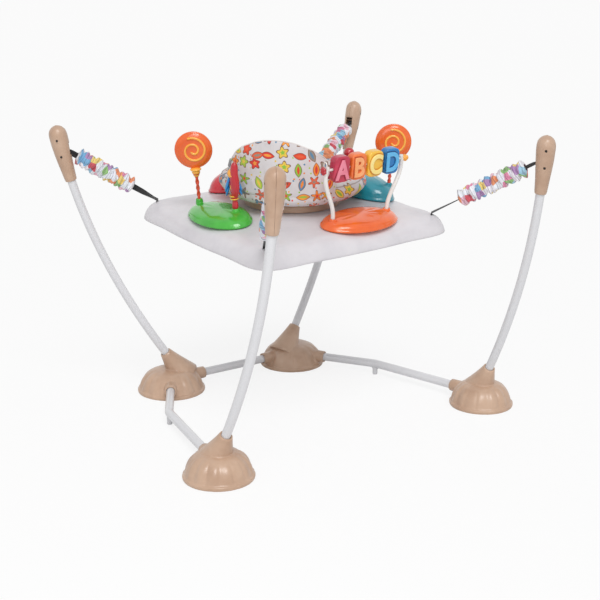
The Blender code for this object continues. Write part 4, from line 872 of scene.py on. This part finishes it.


# Letter tiles: a raised letter on both faces of each tile, coloured paler than the tile as painted highlight, with a
# flat darker outline round its foot as painted shade

# colour: the raised letter, a paler copy of the tile colour as painted highlight; deep: the outline round its foot, a
# darker copy as painted shade
letters = {
    "a": {"spot": (-0.0433, -0.19299, 0.70785), "deep": "A01F3C", "colour": ("F08FA2", "E6788E")},
    "b": {"spot": (0.00966, -0.19299, 0.70991), "deep": "C04A1C", "colour": ("FBAE74", "F59A58")},
    "c": {"spot": (0.06262, -0.19299, 0.71198), "deep": "D08A1E", "colour": ("FCE795", "F7DA78")},
    "d": {"spot": (0.11558, -0.19299, 0.71405), "deep": "12497C", "colour": ("6CC0EE", "4FAEE4")},
}
archAxes = [
    Vector(v) for v in ((-0.99924, 0.0, -0.03899), (0.00673, -0.98499, -0.17247), (-0.0384, -0.1726, 0.98424))
]
letterShape = {
    "size": 0.068,
    "narrow": 0.84,
    "height": 0.0034,
    "bold": 0.0014,
    "edge": 0.0010,
    "face": 0.0116,
    # the outline is a thin flat sheet just above the tile face, not a recess: painted shade round the letter's foot
    "shadeOutlineSpread": 0.0038,
    "shadeOutlineHalf": 0.0003,
    "shadeOutlineRise": 0.0006,
}
for word, entry in letters.items():
    # painted highlight: the raised letter is a paler copy of its tile's colour
    finish = makeMouldedPlastic(f"painted highlight letter plastic {word}", entry["colour"][0], entry["colour"][1], 0.24, coat=0.3)
    # painted shade: the flat outline round the letter is a darker copy of its tile's colour
    deep = makeMouldedPlastic(f"shaded letter hollow {word}", entry["deep"], entry["deep"], 0.4)
    layers = [
        (side, facing, layer) for layer in ("raised", "shadeOutline") for side, facing in (("front", 1), ("rear", -1))
    ]
    for side, facing, layer in layers:
        text = bpy.data.curves.new(f"text{word}{side}{layer}", "FONT")
        text.body = word.upper()
        text.size = letterShape["size"]
        text.offset = letterShape["bold"] + (layer == "shadeOutline") * letterShape["shadeOutlineSpread"]
        text.extrude = letterShape["height"] / 2 if layer == "raised" else letterShape["shadeOutlineHalf"]
        text.bevel_depth = letterShape["edge"] if layer == "raised" else 0.0
        text.bevel_resolution = 2
        text.align_x = "CENTER"
        text.align_y = "CENTER"
        holder = bpy.data.objects.new(text.name, text)
        scene.collection.objects.link(holder)
        bpy.context.view_layer.update()
        mesh = bpy.data.meshes.new_from_object(holder.evaluated_get(bpy.context.evaluated_depsgraph_get()))
        bpy.data.objects.remove(holder)
        lowX = min(v.co.x for v in mesh.vertices) + max(v.co.x for v in mesh.vertices)
        lowY = min(v.co.y for v in mesh.vertices) + max(v.co.y for v in mesh.vertices)
        rise = letterShape["height"] / 2 if layer == "raised" else letterShape["shadeOutlineRise"]
        mesh.transform(Matrix.Translation((-lowX / 2, -lowY / 2, rise)))
        mesh.transform(Matrix.Diagonal((letterShape["narrow"], 1, 1, 1)))
        right, out, up = -archAxes[0] * facing, archAxes[1] * facing, archAxes[2]
        turn = Matrix((right, up, out)).transposed().to_4x4()
        spot = Vector(entry["spot"]) + out * letterShape["face"]
        mesh.transform(Matrix.Translation(spot) @ turn)
        letter = bpy.data.objects.new(f"letter_{word}_{side}_{layer}", mesh)
        scene.collection.objects.link(letter)
        mesh.materials.clear()
        mesh.materials.append(finish if layer == "raised" else deep)
        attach(letter, f"tile_{word}")
print("letters are on the tiles")


# Lollipop discs: a spiral rib on both faces

discs = {
    "left": {
        "spot": (-0.25164, 0.15732, 0.72958),
        "normal": (-0.56585, -0.81393, -0.1316),
        "up": (-0.14115, -0.06163, 0.98807),
    },
    "right": {
        "spot": (0.26368, -0.03178, 0.72928),
        "normal": (-0.57043, -0.82122, -0.01432),
        "up": (0.06372, -0.06163, 0.99606),
    },
}
spiral = {
    "turns": 1.75,
    "startTurn": math.radians(200),
    "start": 0.005,
    "reach": 0.0350,
    "rib": 0.0032,
    "face": 0.0098,
    "rimRadius": 0.0452,
    "rim": 0.0040,
}
for word, entry in discs.items():
    out, up = Vector(entry["normal"]).normalized(), Vector(entry["up"]).normalized()
    right = up.cross(out).normalized()
    for side, facing in (("front", 1), ("rear", -1)):
        line = []
        for i in range(91):
            share = i / 90
            turn = math.tau * spiral["turns"] * share + spiral["startTurn"]
            r = spiral["start"] + (spiral["reach"] - spiral["start"]) * share
            line.append(
                Vector(entry["spot"]) + r * (math.cos(turn) * right * facing + math.sin(turn) * up)
                + out * facing * spiral["face"]
            )
        bakeCurve(f"spiralRib_{word}_{side}", line, spiral["rib"], amberPlastic, f"disc_{word}")
    rimLine = [
        Vector(entry["spot"]) + spiral["rimRadius"] * (math.cos(a) * right + math.sin(a) * up)
        for a in (math.tau * i / 72 for i in range(72))
    ]
    bakeCurve(f"discRim_{word}", rimLine, spiral["rim"], orangePlastic, f"disc_{word}", closed=True)
print("spirals are on the discs")


# Cap screws: pan heads with a cross on top, two on each side of a post cap

screws = {
    "front_left": {
        "middle": (-0.4114, -0.4486, 0.7578),
        "normal": (-0.866, 0.4991, 0.0312),
        "axis": (0.0055, -0.0527, 0.9986),
        "spots": ((-0.4352, -0.4411, 0.7463), (-0.4332, -0.4391, 0.7022)),
    },
    "front_right": {
        "middle": (0.4114, -0.4486, 0.7578),
        "normal": (-0.866, -0.4991, -0.0312),
        "axis": (-0.0055, -0.0527, 0.9986),
        "spots": ((0.3938, -0.465, 0.7448), (0.3965, -0.4602, 0.7009)),
    },
    "rear_left": {
        "middle": (-0.4985, 0.4419, 0.7578),
        "normal": (0.4138, 0.9096, 0.0378),
        "axis": (-0.1823, 0.0421, 0.9823),
        "spots": ((-0.4917, 0.4657, 0.7456), (-0.4836, 0.4609, 0.7015)),
    },
    "rear_right": {
        "middle": (0.4985, 0.4419, 0.7578),
        "normal": (0.4138, -0.9096, -0.0378),
        "axis": (0.1823, 0.0421, 0.9823),
        "spots": ((0.5115, 0.4221, 0.7438), (0.501, 0.4226, 0.6999)),
    },
}
screwShape = {"radius": 0.0031, "topRadius": 0.0022, "height": 0.0012, "sunk": 0.0014, "farSunk": 0.0034}
for entry in screws.values():
    normal, middle = Vector(entry["normal"]).normalized(), Vector(entry["middle"])
    entry["far"] = [
        Vector(s) - normal * (2 * (Vector(s) - middle).dot(normal)) - normal * screwShape["farSunk"]
        for s in entry["spots"]
    ]
darkSteel = makeMouldedPlastic("blackened steel screw", "2A2624", "1A1716", 0.4)
for corner, entry in screws.items():
    for number, spot in enumerate([*entry["spots"], *entry["far"]]):
        facing = 1 if number < 2 else -1
        bm = bmesh.new()
        bmesh.ops.create_cone(
            bm, cap_ends=True, segments=20, radius1=screwShape["radius"], radius2=screwShape["topRadius"],
            depth=screwShape["height"],
        )
        for turn in (0, math.pi / 2):
            place = Matrix.Rotation(turn, 4, "Z") @ Matrix.Diagonal((0.0036, 0.0007, 0.0006, 1))
            bmesh.ops.create_cube(bm, size=1.0, matrix=Matrix.Translation((0, 0, 0.0005)) @ place)
        outward = Vector(entry["normal"])
        place = placeAt(
            Vector(spot) - outward * screwShape["sunk"] * facing, outward * facing, entry["axis"]
        )
        bmesh.ops.transform(bm, matrix=place, verts=bm.verts)
        finishPiece(f"capScrew_{corner}_{number}", bm, darkSteel, "frame", smooth=False)
print("screws are in the caps")


# Bird, the clip on the seat's back and the ends of the letter rod

def addBall(bm, spot, size, turn=Matrix.Identity(4)):
    # an oval lump, one of several that the even mesh joins
    place = Matrix.Translation(spot) @ turn @ Matrix.Diagonal((*size, 1))
    bmesh.ops.create_uvsphere(bm, u_segments=20, v_segments=12, radius=1.0, matrix=place)


def joinLumps(name, bm, material, body, voxel=0.0012):
    piece = finishPiece(name, bm, material, body)
    melt = piece.modifiers.new("melt", "REMESH")
    melt.mode = "VOXEL"
    melt.voxel_size = voxel
    ease = piece.modifiers.new("ease", "SMOOTH")
    ease.iterations = 3
    bakeModifiers(piece)
    piece.data.polygons.foreach_set("use_smooth", [True] * len(piece.data.polygons))
    return piece


bird = {
    "foot": Vector((-0.21078, 0.02363, 0.59277)),
    "up": Vector((-0.14115, -0.06163, 0.98807)),
    "front": Vector((-0.62, -0.78, -0.13)),
}
birdPlace = placeAt(bird["foot"], bird["up"], bird["front"])
bm = bmesh.new()
for side in (-1, 1):
    tilt = Matrix.Rotation(0.35 * side, 4, "X")
    addBall(bm, (-0.002, 0.0135 * side, 0.066), (0.0110, 0.0045, 0.0230), tilt)
    addBall(bm, (-0.004, 0.0150 * side, 0.048), (0.0080, 0.0036, 0.0160), tilt)
bmesh.ops.transform(bm, matrix=birdPlace, verts=bm.verts)
joinLumps("birdWings", bm, bluePlastic, "bird")
bm = bmesh.new()
addBall(bm, (0.0, 0.0, 0.0925), (0.0125, 0.0118, 0.0130))
addBall(bm, (0.0050, 0.0, 0.0600), (0.0090, 0.0080, 0.0200))
addBall(bm, (0.0090, 0.0, 0.0890), (0.0075, 0.0035, 0.0032))
addBall(bm, (-0.001, 0.0, 0.1010), (0.0045, 0.0022, 0.0060), Matrix.Rotation(-0.4, 4, "Y"))
bmesh.ops.transform(bm, matrix=birdPlace, verts=bm.verts)
joinLumps("birdHead", bm, amberPlastic, "bird")
bm = bmesh.new()
for side in (-1, 1):
    addBall(bm, (0.0068, 0.0058 * side, 0.0925), (0.0017, 0.0017, 0.0017))
    addBall(bm, (0.0072, 0.0061 * side, 0.0929), (0.0014, 0.0014, 0.0014))
bmesh.ops.transform(bm, matrix=birdPlace, verts=bm.verts)
finishPiece("birdEyes", bm, blackPlastic, "bird")
bm = bmesh.new()
for height, girth in ((0.026, 0.0098), (0.034, 0.0108)):
    place = Matrix.Translation((girth, 0, height)) @ Matrix.Rotation(math.pi / 2, 4, "X")
    ring = bmesh.ops.create_circle(bm, segments=8, radius=0.0016, matrix=place)
    edges = list({e for v in ring["verts"] for e in v.link_edges})
    bmesh.ops.spin(
        bm, geom=ring["verts"] + edges, cent=(0, 0, 0), axis=(0, 0, 1), angle=math.tau, steps=36, use_merge=True
    )
bmesh.ops.transform(bm, matrix=birdPlace, verts=bm.verts)
finishPiece("birdStripes", bm, yellowPlastic, "bird")

clipSpot, clipOut, face, away = backSkin.find_nearest(seatSpot(math.radians(171), 0.1900, 0.148))
greyPlastic = makeMouldedPlastic("grey moulded plastic", "8E8F92", "7C7D80", 0.38)
clip = {"wide": 0.019, "tall": 0.026, "thick": 0.006, "round": 0.002, "rim": 0.003, "dish": 0.0012, "sunk": 0.003}
bm = bmesh.new()
bmesh.ops.create_grid(bm, x_segments=1, y_segments=1, size=0.5)
bmesh.ops.scale(bm, vec=(clip["wide"], clip["tall"], 1), verts=bm.verts)
raised = bmesh.ops.extrude_face_region(bm, geom=bm.faces)["geom"]
bmesh.ops.translate(bm, verts=[g for g in raised if isinstance(g, bmesh.types.BMVert)], vec=(0, 0, clip["thick"]))
bmesh.ops.bevel(
    bm, geom=bm.edges[:] + bm.verts[:], offset=clip["round"], affect="EDGES", segments=3, profile=0.5, material=-1
)
face = max(bm.faces, key=lambda f: f.calc_center_median().z)
bmesh.ops.inset_region(bm, faces=[face], thickness=clip["rim"], depth=-clip["dish"])
clipPlace = placeAt(clipSpot - clipOut * clip["sunk"], clipOut, (0, 0, 1))
bmesh.ops.transform(bm, matrix=clipPlace, verts=bm.verts)
finishPiece("seatClip", bm, greyPlastic, "seat", smooth=False)


rod = {"middle": Vector((0.0361, -0.19299, 0.7109)), "along": Vector((0.99924, 0.0, 0.03899)), "half": 0.129}
knobSpot = rod["middle"] - rod["along"] * (rod["half"] + 0.001)
bm = bmesh.new()
rodTurn = placeAt(knobSpot, -rod["along"], (0, 0, 1))
addBall(bm, (0, 0, 0), (0.0078, 0.0078, 0.0062))
for i in range(6):
    turn = math.tau * i / 6
    addBall(bm, (0.0068 * math.cos(turn), 0.0068 * math.sin(turn), -0.0005), (0.0042, 0.0042, 0.0045))
bmesh.ops.transform(bm, matrix=rodTurn, verts=bm.verts)
joinLumps("rodFlowerKnob", bm, crimsonPlastic, "tray", voxel=0.0009)
loopLine = []
for i in range(40):
    turn = math.tau * i / 40
    loopLine.append(rodTurn @ Vector((0.0125 + 0.0085 * math.cos(turn), 0.0060 * math.sin(turn), -0.0075)))
bakeCurve("rodLoop", loopLine, 0.0016, creamPlastic, "tray", closed=True)
beadSpot = rod["middle"] + rod["along"] * (rod["half"] + 0.001)
bm = bmesh.new()
beadTurn = placeAt(beadSpot, rod["along"], (0, 0, 1))
for height, girth in ((-0.004, 0.0070), (0.001, 0.0095), (0.006, 0.0070)):
    addBall(bm, (0, 0, height), (girth, girth, 0.0048))
bmesh.ops.transform(bm, matrix=beadTurn, verts=bm.verts)
joinLumps("rodBead", bm, amberPlastic, "tray", voxel=0.0009)

# amber collars on the stems, under the discs
for word, entry in discs.items():
    bm = bmesh.new()
    for height, girth, tall in ((-0.0520, 0.0150, 0.0058), (-0.0600, 0.0112, 0.0062), (-0.0680, 0.0078, 0.0050)):
        addBall(bm, (0, 0, height), (girth, girth, tall))
    bmesh.ops.transform(bm, matrix=placeAt(Vector(entry["spot"]), entry["up"]), verts=bm.verts)
    joinLumps(f"stemCollar_{word}", bm, amberPlastic, "tray", voxel=0.0009)
print("toy details are on")
